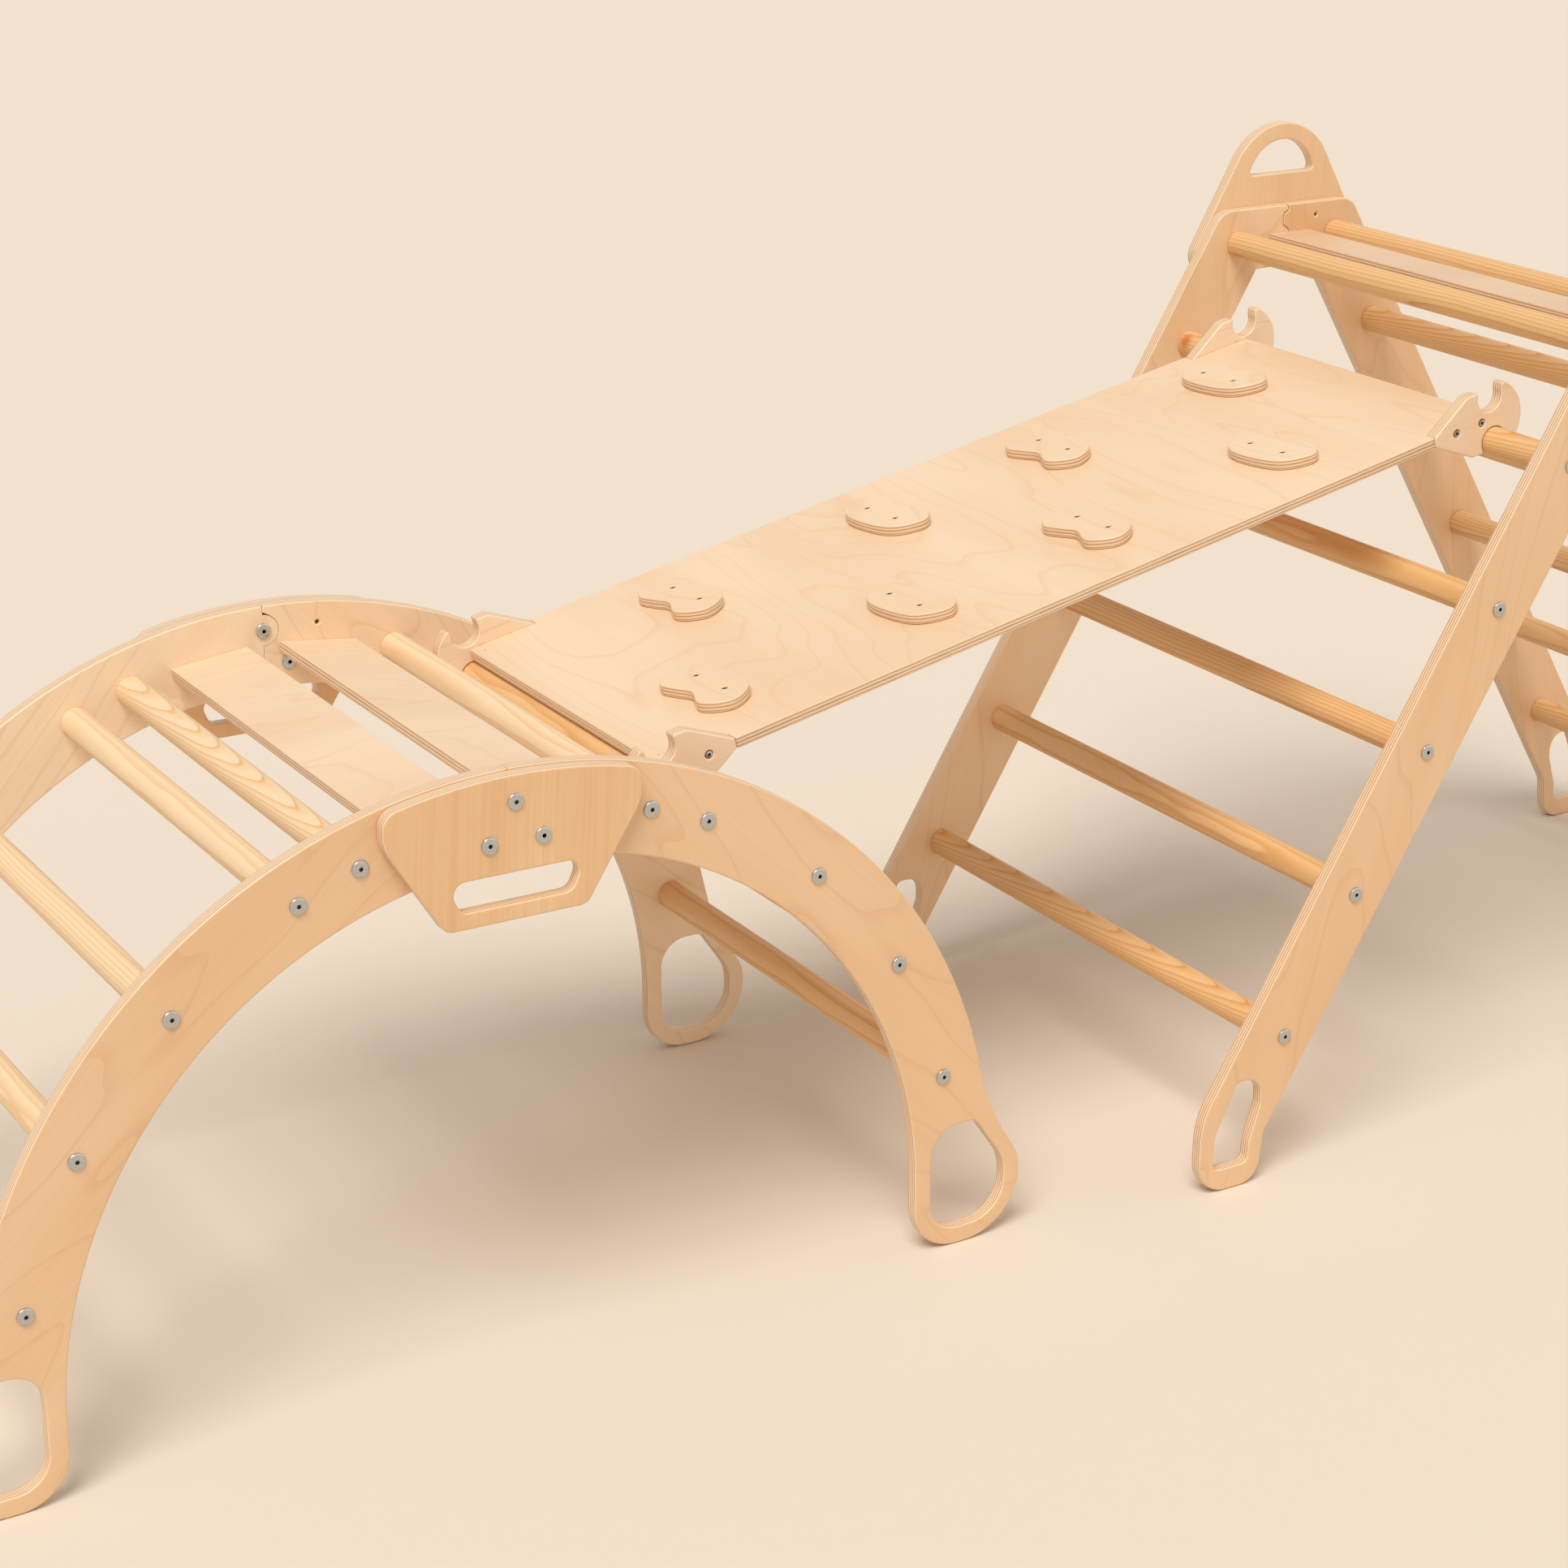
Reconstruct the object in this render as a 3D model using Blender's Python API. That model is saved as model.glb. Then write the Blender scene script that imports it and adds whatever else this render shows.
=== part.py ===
"""A climbing set: a folding arch of rungs, a folding ladder triangle, and a ramp hooked between them.

Lengths are in metres. X runs from the arch towards the triangle, Y across the set and Z up.
Panels are drawn as outlines in X and Z and given their thickness along Y.
"""
import math

import bmesh
import bpy
from mathutils import Vector

# Stock
PLY = 0.015
THIN_PLY = 0.012
GAP = 0.0003
EDGE_CHAMFER = 0.0018
SMALL_CHAMFER = 0.0012
ARC_STEP_DEG = 5.0
CORNER_STEP_DEG = 20.0

# Rungs and bolts
RUNG_RADIUS = 0.016
SHANK_RADIUS = 0.003
SHANK_CLEARANCE = 0.0009
HEAD_RADIUS = 0.0075
HEAD_THICK = 0.0025
CAP_RADIUS = 0.0065
CAP_THICK = 0.0025
SCREW_HOLE_RADIUS = 0.0018
ROUND_SIDES = 12
HOLE_SIDES = 6

# Arch: a half ring on feet, parted at its top
ARCH_HALF_WIDTH = 0.2941
ARC_RADIUS = 0.5
ARC_WIDTH = 0.0913
ARC_CENTRE_Z = 0.0767
ARC_LEAVES_DEG = 12.2
FIRST_RUNG_REACH = 0.15097
HOOK_ROOM = 0.06545
LAST_RUNG_DEG = 76.1
ARCH_RUNGS = 5
RAMP_RUNG = 1
ARCH_FOOT_REACH = 0.084
ARCH_FOOT_SHOULDER_Z = 0.083
ARCH_FOOT_WAIST = 0.0415
ARCH_FOOT_WAIST_RADIUS = 0.24
ARCH_FOOT_SHOULDER_RADIUS = 0.052
ARCH_FOOT_TOE_RADIUS = 0.068
ARCH_FOOT_HEEL_RADIUS = 0.05
ARCH_FOOT_RIM = 0.0192
ARCH_HOLE_HEIGHT = 0.1186
ARCH_HOLE_TOP_SHARE = 0.586
ARCH_HOLE_RADIUS_SHARES = (0.36, 0.36, 0.46, 0.5, 0.19)

# Arch fold: the left half's knob sits in a socket of the right half and swings about the pivot
PIVOT_OFFSET = 0.0275
ARCH_LOCK_DROP = 0.0273
ARCH_PIVOT_DROP = 0.0653
ARCH_SCREW_OFFSET = 0.0618
KNOB_RADIUS = 0.017
SOCKET_CLEARANCE = 0.0005

# Arch handle plates and slats
ARCH_PLATE_INSET = 0.0013
ARCH_PLATE_HALF_LENGTH = 0.132
ARCH_PLATE_SHOULDER_DROP = 0.0495
ARCH_PLATE_FOOT_HALF_LENGTH = 0.0725
ARCH_PLATE_HEIGHT = 0.1435
ARCH_PLATE_TOP_RADIUS = 0.018
ARCH_PLATE_SIDE_RADIUS = 0.04
ARCH_PLATE_FOOT_RADIUS = 0.014
SLOT_TOP_DROP = 0.0965
SLOT_HEIGHT = 0.0304
SLOT_HALF_LENGTH = 0.0705
SLOT_TAPER = 0.0135
SLOT_RADIUS = 0.012
SLAT_DEG = 7.0
SLAT_WIDTH = 0.086
SLAT_INSET = 0.0426

# Ladder triangle
TRI_HALF_WIDTH = 0.3413
TRI_HALF_LENGTH = 0.6004
LEG_TOP_Z = 0.909
LEG_DEG = 31.25
LEG_WIDTH = 0.0888
LEG_AXIS_FOOT_X = 0.601
LEG_TOP_RADIUS = 0.026
LADDER_DEG = 30.79
LADDER_FOOT_X = 0.4941
LADDER_FOOT_Z = 0.1656
LADDER_STEP = 0.1704
LADDER_TOP_STEP = 0.1355
LADDER_RUNGS = 6
HOOKED_RUNG = 4
LEG_FOOT_WIDTH = 0.0804
LEG_FOOT_NECK_Z = 0.0575
LEG_FOOT_SHOULDER_RADIUS = 0.09
LEG_FOOT_TOE_RADIUS = 0.037
LEG_FOOT_HEEL_RADIUS = 0.027
LEG_FOOT_NECK_RADIUS = 0.03
LEG_HOLE_TOP_Z = 0.124
LEG_HOLE_SHARES = (
    (0.24, 0.205, 0.11), (0.24, 0.52, 0.5), (0.57, 1.0, 0.1), (0.987, 1.0, 0.27),
    (0.987, 0.735, 0.15), (0.825, 0.4, 0.25), (0.81, 0.205, 0.1),
)

# Triangle fold: the right legs swing about the pivot in the left legs
TRI_PIVOT_DROP = 0.0645
TRI_LOCK_OFFSET = 0.016
TRI_LOCK_DROP = 0.025
TRI_SCREW_OFFSET = 0.0456
TRI_SCREW_DROP = 0.0163
TRI_CROTCH_DROP = 0.076
TRI_SEAM_X = 0.0038
TAB_DEPTH = 0.0088
TAB_LOW_DROP = 0.025
TAB_HIGH_DROP = 0.007
TAB_RADIUS = 0.0035
SEAM_LEAN = 0.004

# Triangle handle plates and top slat
TRI_PLATE_RISE = 0.0978
TRI_PLATE_DROP = 0.0796
TRI_PLATE_DEG = 29.9
TRI_PLATE_TOP_RADIUS = 0.0785
TRI_PLATE_CORNER_RADIUS = 0.025
GRIP_RIM = 0.02
GRIP_RADIUS = 0.0512
GRIP_HEIGHT = 0.0411
GRIP_CORNER_RADIUS = 0.005
TOP_SLAT_WIDTH = 0.06
TOP_SLAT_OFFSET = 0.003
TOP_SLAT_DROP = 0.033

# Ramp: s runs from the arch's rung to the triangle's, t square to it
RAMP_SPAN = 1.0563
RAMP_RISE = 0.026
BOARD_SIDE_ROOM = 0.0726
HOOK_TAIL = 0.081
HOOK_TAIL_HALF_HEIGHT = 0.0054
HOOK_TAIL_RADIUS = 0.004
HOOK_HALF_HEIGHT = 0.0352
HOOK_SHOULDER = 0.0313
HOOK_SHOULDER_RADIUS = 0.008
HOOK_LIP_RADIUS = 0.002
HOOK_CLEARANCE = 0.0006
NOTCH_FROM_DEG = 163.0
NOTCH_TO_DEG = 368.0
HOOK_TIP = 0.0188
HOOK_TIP_HEIGHT = 0.0378
HOOK_TIP_RADIUS = 0.0035
NOSE_CENTRE = -0.0022
NOSE_DEG = 50.0
HIGH_NOSE_RADIUS = 0.0445
LOW_NOSE_RADIUS = 0.0405

# Grip holds on the ramp
HOLD_LENGTH = 0.114
HOLD_WIDTH = 0.067
HOLD_SHARES = (
    (-0.49, 0.33), (-0.2, 0.5), (0.31, 0.35), (0.49, -0.08), (0.39, -0.37),
    (-0.04, -0.5), (-0.42, -0.31), (-0.3, -0.05), (-0.41, 0.135),
)
HOLD_CURVE_STEPS = 3
ROW_SHARE = 0.492
FRONT_ROW_SHARES = (0.109, 0.3425, 0.561, 0.795)
BACK_ROW_SHARES = (0.201, 0.449, 0.66, 0.894)

# Finishes: name, colour, roughness, metallic
PALE_PLY = ("birch_ply", (0.83, 0.62, 0.38), 0.5, 0.0)
PLATE_PLY = ("handle_ply", (0.80, 0.55, 0.30), 0.5, 0.0)
PINE = ("pine", (0.80, 0.49, 0.21), 0.5, 0.0)
STEEL = ("zinc_steel", (0.62, 0.61, 0.58), 0.35, 1.0)

ARC_OUTER = ARC_RADIUS + ARC_WIDTH / 2.0
ARC_INNER = ARC_RADIUS - ARC_WIDTH / 2.0
ARCH_TOP_Z = ARC_CENTRE_Z + ARC_OUTER
ARCH_HUB = (0.0, ARC_CENTRE_Z)
ARCH_HALF_LENGTH = ARC_RADIUS + ARCH_FOOT_REACH
ARCH_LOCK = (0.0, ARCH_TOP_Z - ARCH_LOCK_DROP)
ARCH_PIVOT = (-PIVOT_OFFSET, ARCH_TOP_Z - ARCH_PIVOT_DROP)
ARCH_FIXING = (PIVOT_OFFSET, ARCH_TOP_Z - ARCH_PIVOT_DROP)
ARCH_SCREW = (ARCH_SCREW_OFFSET, ARCH_TOP_Z - ARCH_LOCK_DROP)
SHANK_HOLE_RADIUS = SHANK_RADIUS + SHANK_CLEARANCE
TRI_PIVOT = (-PIVOT_OFFSET, LEG_TOP_Z - TRI_PIVOT_DROP)
TRI_FIXING = (PIVOT_OFFSET, LEG_TOP_Z - TRI_PIVOT_DROP)
TRI_LOCK = (-TRI_LOCK_OFFSET, LEG_TOP_Z - TRI_LOCK_DROP)
TRI_SCREW = (TRI_SCREW_OFFSET, LEG_TOP_Z - TRI_SCREW_DROP)
TRI_PLATE_TOP_Z = LEG_TOP_Z + TRI_PLATE_RISE
TRI_PLATE_BOTTOM_Z = LEG_TOP_Z - TRI_PLATE_DROP
LEG_RUN = math.tan(math.radians(LEG_DEG))
LEG_HALF_SPAN = LEG_WIDTH / 2.0 / math.cos(math.radians(LEG_DEG))
NOTCH_RADIUS = RUNG_RADIUS + HOOK_CLEARANCE
BOARD_HALF_WIDTH = ARCH_HALF_WIDTH - BOARD_SIDE_ROOM
ROW_Y = BOARD_HALF_WIDTH * ROW_SHARE


def arch_rung(number):
    """Where a rung of the arch's right half sits: the first two leave room for a hook, the rest share."""
    angle = FIRST_RUNG_REACH / ARC_RADIUS
    if number > 0:
        angle += HOOK_ROOM / ARC_RADIUS
        angle += (math.radians(LAST_RUNG_DEG) - angle) * (number - 1) / (ARCH_RUNGS - 2)
    return (ARC_RADIUS * math.sin(angle), ARC_CENTRE_Z + ARC_RADIUS * math.cos(angle))


def ladder_rung(number):
    """Where a rung of the right ladder sits, from the triangle's middle."""
    run = LADDER_STEP * number
    if number == LADDER_RUNGS - 1:
        run = LADDER_STEP * (number - 1) + LADDER_TOP_STEP
    angle = math.radians(LADDER_DEG)
    return (LADDER_FOOT_X - run * math.sin(angle), LADDER_FOOT_Z + run * math.cos(angle))


RAMP_LOW = arch_rung(RAMP_RUNG)
RAMP_HIGH = ladder_rung(HOOKED_RUNG)
RAMP_RUN = math.sqrt(RAMP_SPAN ** 2 - (RAMP_HIGH[1] - RAMP_LOW[1]) ** 2)
CENTRE_DISTANCE = RAMP_LOW[0] + RAMP_RUN + RAMP_HIGH[0]
ARCH_X = (ARCH_HALF_LENGTH - CENTRE_DISTANCE - TRI_HALF_LENGTH) / 2.0
TRI_X = ARCH_X + CENTRE_DISTANCE


def clear_scene():
    for obj in list(bpy.data.objects):
        bpy.data.objects.remove(obj, do_unlink=True)


def material(spec):
    name, colour, roughness, metallic = spec
    made = bpy.data.materials.get(name)
    if made is None:
        made = bpy.data.materials.new(name)
        made.use_nodes = True
        shader = made.node_tree.nodes["Principled BSDF"]
        shader.inputs["Base Color"].default_value = (*colour, 1.0)
        shader.inputs["Roughness"].default_value = roughness
        shader.inputs["Metallic"].default_value = metallic
    return made


def direction(start, end):
    """The angle in degrees of the line from one point to another."""
    return math.degrees(math.atan2(end[1] - start[1], end[0] - start[0]))


def arc(centre, radius, start_deg, end_deg, step_deg):
    """Points along an arc, both ends included."""
    steps = max(1, math.ceil(abs(end_deg - start_deg) / step_deg))
    points = []
    for i in range(steps + 1):
        angle = math.radians(start_deg + (end_deg - start_deg) * i / steps)
        points.append((centre[0] + radius * math.cos(angle), centre[1] + radius * math.sin(angle)))
    return points


def circle(centre, radius, sides):
    return arc(centre, radius, 0.0, 360.0, 360.0 / sides)[:-1]


def other_side(points):
    """The points mirrored left to right, in the same order."""
    return [(-point[0], *point[1:]) for point in points]


def mirrored(points):
    """The points mirrored left to right, in the reverse order, so an outline carries on round."""
    return other_side(reversed(points))


def shifted(points, dx):
    return [(x + dx, z) for x, z in points]


def rounded(corners):
    """An outline from corners (x, z) or (x, z, radius), with an arc at each corner that has a radius."""
    points = []
    count = len(corners)
    for i, corner in enumerate(corners):
        here = Vector(corner[:2])
        if len(corner) == 2:
            points.append(corner)
            continue
        to_last = (Vector(corners[i - 1][:2]) - here).normalized()
        to_next = (Vector(corners[(i + 1) % count][:2]) - here).normalized()
        half = to_last.angle(to_next) / 2.0
        centre = here + (to_last + to_next).normalized() * corner[2] / math.sin(half)
        start = here + to_last * corner[2] / math.tan(half) - centre
        end = here + to_next * corner[2] / math.tan(half) - centre
        start_deg = direction((0.0, 0.0), start)
        turn = (direction((0.0, 0.0), end) - start_deg + 180.0) % 360.0 - 180.0
        points += arc(tuple(centre), corner[2], start_deg, start_deg + turn, CORNER_STEP_DEG)
    return points


def smooth_loop(points, steps):
    """A closed Catmull-Rom curve through the points."""
    count = len(points)
    curve = []
    for i in range(count):
        a, b, c, d = (Vector(points[(i + k) % count]) for k in (-1, 0, 1, 2))
        for step in range(steps):
            u = step / steps
            spot = b + (c - a) * u / 2.0
            spot += (a - b * 2.5 + c * 2.0 - d / 2.0) * u ** 2
            spot += (b * 1.5 - a / 2.0 - c * 1.5 + d / 2.0) * u ** 3
            curve.append(tuple(spot))
    return curve


def signed_area(points):
    total = 0.0
    for (x0, z0), (x1, z1) in zip(points, points[1:] + points[:1]):
        total += x0 * z1 - x1 * z0
    return total / 2.0


def offset(points, distance, is_closed):
    """Each point moved to the left of the line's direction, by the mitre of its two edges."""
    count = len(points)
    moved = []
    for i, (x, z) in enumerate(points):
        normals = []
        for a, b in ((i - 1, i), (i, i + 1)):
            if not is_closed and (a < 0 or b >= count):
                continue
            along = (Vector(points[b % count]) - Vector(points[a % count])).normalized()
            normals.append(Vector((-along.y, along.x)))
        normal = sum(normals, Vector((0.0, 0.0))).normalized()
        reach = distance / max(normal.dot(normals[0]), 0.5)
        moved.append((x + normal.x * reach, z + normal.y * reach))
    return moved


def new_object(name, mesh, spec, pivot):
    """Makes an object of the mesh, with its origin at the pivot, the point (x, z) on its joint's axis."""
    origin = Vector((pivot[0], 0.0, pivot[1]))
    bmesh.ops.translate(mesh, verts=mesh.verts, vec=-origin)
    bmesh.ops.recalc_face_normals(mesh, faces=mesh.faces)
    if mesh.calc_volume(signed=True) < 0.0:
        bmesh.ops.reverse_faces(mesh, faces=mesh.faces)
    data = bpy.data.meshes.new(name)
    mesh.to_mesh(data)
    mesh.free()
    data.materials.append(material(spec))
    obj = bpy.data.objects.new(name, data)
    obj.location = origin
    bpy.context.scene.collection.objects.link(obj)
    return obj


def prism(outline, holes, low, high, chamfer=0.0):
    """A plate from y = low to y = high, with its outer edges chamfered where a chamfer is given."""
    mesh = bmesh.new()
    rims = []
    for points in [outline, *holes]:
        points = list(points)
        is_outline = not rims
        if (signed_area(points) > 0.0) != is_outline:
            points.reverse()
        layers = [(points, low), (points, high)]
        if chamfer and is_outline:
            inner = offset(points, chamfer, True)
            layers = [(inner, low), (points, low + chamfer), (points, high - chamfer), (inner, high)]
        rings = []
        for ring_points, y in layers:
            rings.append([mesh.verts.new((x, y, z)) for x, z in ring_points])
        join_rings(mesh, rings)
        rims.append((rings[0], rings[-1]))
    for side in (0, 1):
        edges = []
        for rim in rims:
            for i, vert in enumerate(rim[side]):
                edges.append(mesh.edges.get((rim[side][i - 1], vert)))
        bmesh.ops.triangle_fill(mesh, edges=edges, use_beauty=True, use_dissolve=False)
    return mesh


def join_rings(mesh, rings):
    for ring, other in zip(rings, rings[1:]):
        for i, vert in enumerate(ring):
            mesh.faces.new((ring[i - 1], vert, other[i], other[i - 1]))


def lathe(profile, centre, sides):
    """A turned body along y. The profile is (y, radius) from one flat end to the other."""
    mesh = bmesh.new()
    rings = []
    for y, radius in profile:
        rings.append([mesh.verts.new((x, y, z)) for x, z in circle(centre, radius, sides)])
    join_rings(mesh, rings)
    mesh.faces.new(rings[0])
    mesh.faces.new(rings[-1])
    return mesh


def side_name(sign):
    return "front" if sign < 0 else "back"


def outward(profile, sign):
    """A profile written for the back side, turned to the front when sign is negative."""
    if sign > 0:
        return profile
    return [(-y, radius) for y, radius in reversed(profile)]


def span(inner, outer, sign):
    return (inner, outer) if sign > 0 else (-outer, -inner)


def rung(name, centre, half_width, has_heads, pivot):
    """A rung with its end bolts: wood between the panels, shanks through them, heads outside."""
    wood_end = half_width - PLY - GAP
    half = [(wood_end, RUNG_RADIUS), (wood_end, SHANK_RADIUS)]
    if has_heads:
        tip = half_width + GAP
        half += [(tip, SHANK_RADIUS), (tip, HEAD_RADIUS), (tip + HEAD_THICK, HEAD_RADIUS)]
    else:
        half += [(half_width - GAP, SHANK_RADIUS)]
    new_object(name, lathe(outward(half, -1) + half, centre, ROUND_SIDES), PINE, pivot)


def cap_profile(half_width):
    """The inner end of a through bolt: its cap on the panel's inner face, then the shank."""
    inner = half_width - PLY - GAP
    return [(inner - CAP_THICK, CAP_RADIUS), (inner, CAP_RADIUS), (inner, SHANK_RADIUS)]


def pivot_pin(name, centre, half_width, sign, pivot):
    """The hinge bolt: head outside the handle plate, shank through plate and panel, cap inside."""
    outer = half_width + GAP + PLY + GAP
    profile = cap_profile(half_width)
    profile += [(outer, SHANK_RADIUS), (outer, HEAD_RADIUS), (outer + HEAD_THICK, HEAD_RADIUS)]
    new_object(name, lathe(outward(profile, sign), centre, ROUND_SIDES), STEEL, pivot)


def lock_nut(name, centre, half_width, sign, pivot):
    """The nut that the lock bolt screws into, seated in the knob from inside."""
    profile = cap_profile(half_width) + [(half_width - GAP, SHANK_RADIUS)]
    new_object(name, lathe(outward(profile, sign), centre, ROUND_SIDES), STEEL, pivot)


def join_bolt(target, label, profile, centre, sign, pivot):
    """Joins a turned bolt to a handle plate as one body."""
    name = f"{target.name}_{label}"
    helper = new_object(name, lathe(outward(profile, sign), centre, ROUND_SIDES), STEEL, pivot)
    helper.hide_render = True
    helper.display_type = "WIRE"
    join = target.modifiers.new(name, "BOOLEAN")
    join.operation = "UNION"
    join.solver = "EXACT"
    join.object = helper


def handle_plate(name, outline, holes, half_width, sign, fixing, lock, pivot):
    """A handle plate outside a panel, with its fixing bolt and the head of its lock bolt."""
    low, high = span(half_width + GAP, half_width + GAP + PLY, sign)
    plate = new_object(name, prism(outline, holes, low, high), PLATE_PLY, pivot)
    outer = half_width + GAP + PLY
    head = [(outer - GAP, HEAD_RADIUS), (outer + HEAD_THICK, HEAD_RADIUS)]
    fastener = cap_profile(half_width) + [(outer - GAP, SHANK_RADIUS)] + head
    join_bolt(plate, "fixing", fastener, fixing, sign, pivot)
    join_bolt(plate, "lock", head, lock, sign, pivot)


def slat(name, centre, lean_deg, width, half_width, pivot):
    """A flat board between the panels; centre is the middle of its top face."""
    along = Vector((math.cos(math.radians(lean_deg)), math.sin(math.radians(lean_deg))))
    down = Vector((along.y, -along.x)) * THIN_PLY
    start = Vector(centre) - along * width / 2.0
    end = Vector(centre) + along * width / 2.0
    corners = [tuple(start), tuple(end), tuple(end + down), tuple(start + down)]
    reach = half_width - PLY - GAP
    new_object(name, prism(corners, [], -reach, reach, SMALL_CHAMFER), PALE_PLY, pivot)


def bolt_holes(centres):
    return [circle(centre, SHANK_HOLE_RADIUS, HOLE_SIDES) for centre in centres]


def placed(outlines, dx):
    return [shifted(points, dx) for points in outlines]


def arch_foot():
    """The right foot, from the ring's outer edge round to its inner edge."""
    angle = math.radians(ARC_LEAVES_DEG)
    leaves = Vector((math.cos(angle), math.sin(angle))) * ARC_OUTER + Vector(ARCH_HUB)
    waist = leaves + Vector((math.sin(angle), -math.cos(angle))) * ARCH_FOOT_WAIST
    corners = [
        tuple(leaves),
        (waist.x, waist.y, ARCH_FOOT_WAIST_RADIUS),
        (ARCH_HALF_LENGTH, ARCH_FOOT_SHOULDER_Z, ARCH_FOOT_SHOULDER_RADIUS),
        (ARCH_HALF_LENGTH, 0.0, ARCH_FOOT_TOE_RADIUS),
        (ARC_INNER, 0.0, ARCH_FOOT_HEEL_RADIUS),
        (ARC_INNER, ARC_CENTRE_Z),
    ]
    return rounded(corners)


def arch_foot_hole():
    left = ARC_INNER + ARCH_FOOT_RIM
    right = ARCH_HALF_LENGTH - ARCH_FOOT_RIM
    bottom = ARCH_FOOT_RIM
    top = bottom + ARCH_HOLE_HEIGHT
    peak = left + (right - left) * ARCH_HOLE_TOP_SHARE
    places = [(left, top), (left, bottom), (right, bottom), (right, ARCH_FOOT_SHOULDER_Z), (peak, top)]
    corners = []
    for (x, z), share in zip(places, ARCH_HOLE_RADIUS_SHARES):
        corners.append((x, z, (right - left) * share))
    return rounded(corners)


def arch_right_outline():
    seam_x = GAP
    outer_deg = math.degrees(math.acos(seam_x / ARC_OUTER))
    inner_deg = math.degrees(math.acos(seam_x / ARC_INNER))
    outer = arc(ARCH_HUB, ARC_OUTER, outer_deg, ARC_LEAVES_DEG, ARC_STEP_DEG)[:-1]
    inner = arc(ARCH_HUB, ARC_INNER, 0.0, inner_deg, ARC_STEP_DEG)[1:]
    socket_radius = KNOB_RADIUS + SOCKET_CLEARANCE
    socket_deg = math.degrees(math.asin(seam_x / socket_radius)) - 90.0
    lift_deg = direction(ARCH_PIVOT, ARCH_LOCK)
    socket = arc(ARCH_LOCK, socket_radius, socket_deg, lift_deg, CORNER_STEP_DEG)
    knob_reach = math.dist(ARCH_LOCK, ARCH_PIVOT) + socket_radius
    relief_deg = math.degrees(math.acos((seam_x + PIVOT_OFFSET) / knob_reach))
    relief = arc(ARCH_PIVOT, knob_reach, lift_deg, relief_deg, ARC_STEP_DEG)[1:]
    return outer + arch_foot() + inner + socket + relief


def arch_left_outline():
    heel_radius = PIVOT_OFFSET - GAP
    reach = math.dist(ARCH_PIVOT, ARCH_HUB)
    cosine = (reach ** 2 + heel_radius ** 2 - ARC_INNER ** 2) / (2.0 * reach * heel_radius)
    heel_deg = direction(ARCH_PIVOT, ARCH_HUB) + math.degrees(math.acos(cosine))
    heel = arc(ARCH_PIVOT, heel_radius, heel_deg, 0.0, CORNER_STEP_DEG)
    inner_deg = math.degrees(math.acos(-heel[0][0] / ARC_INNER))
    outer = arc(ARCH_HUB, ARC_OUTER, 90.0, ARC_LEAVES_DEG, ARC_STEP_DEG)[:-1]
    inner = arc(ARCH_HUB, ARC_INNER, 0.0, inner_deg, ARC_STEP_DEG)[1:-1]
    knob = arc(ARCH_LOCK, KNOB_RADIUS, -90.0, 90.0, CORNER_STEP_DEG)
    return heel + knob + other_side(outer + arch_foot() + inner)


def arch_plate_outline():
    radius = ARC_OUTER - ARCH_PLATE_INSET
    half_deg = math.degrees(math.asin((ARCH_PLATE_HALF_LENGTH - ARCH_PLATE_TOP_RADIUS) / radius))
    top = arc(ARCH_HUB, radius, 90.0 + half_deg, 90.0 - half_deg, ARC_STEP_DEG)
    corner_z = ARC_CENTRE_Z + math.sqrt(radius ** 2 - ARCH_PLATE_HALF_LENGTH ** 2)
    side = [
        (ARCH_PLATE_HALF_LENGTH, corner_z, ARCH_PLATE_TOP_RADIUS),
        (ARCH_PLATE_HALF_LENGTH, ARCH_TOP_Z - ARCH_PLATE_SHOULDER_DROP, ARCH_PLATE_SIDE_RADIUS),
        (ARCH_PLATE_FOOT_HALF_LENGTH, ARCH_TOP_Z - ARCH_PLATE_HEIGHT, ARCH_PLATE_FOOT_RADIUS),
    ]
    return rounded(top[1:-1] + side + mirrored(side))


def arch_slot_outline():
    top = ARCH_TOP_Z - SLOT_TOP_DROP
    side = [
        (SLOT_HALF_LENGTH, top, SLOT_RADIUS),
        (SLOT_HALF_LENGTH - SLOT_TAPER, top - SLOT_HEIGHT, SLOT_RADIUS),
    ]
    return rounded(side + mirrored(side))


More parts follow.
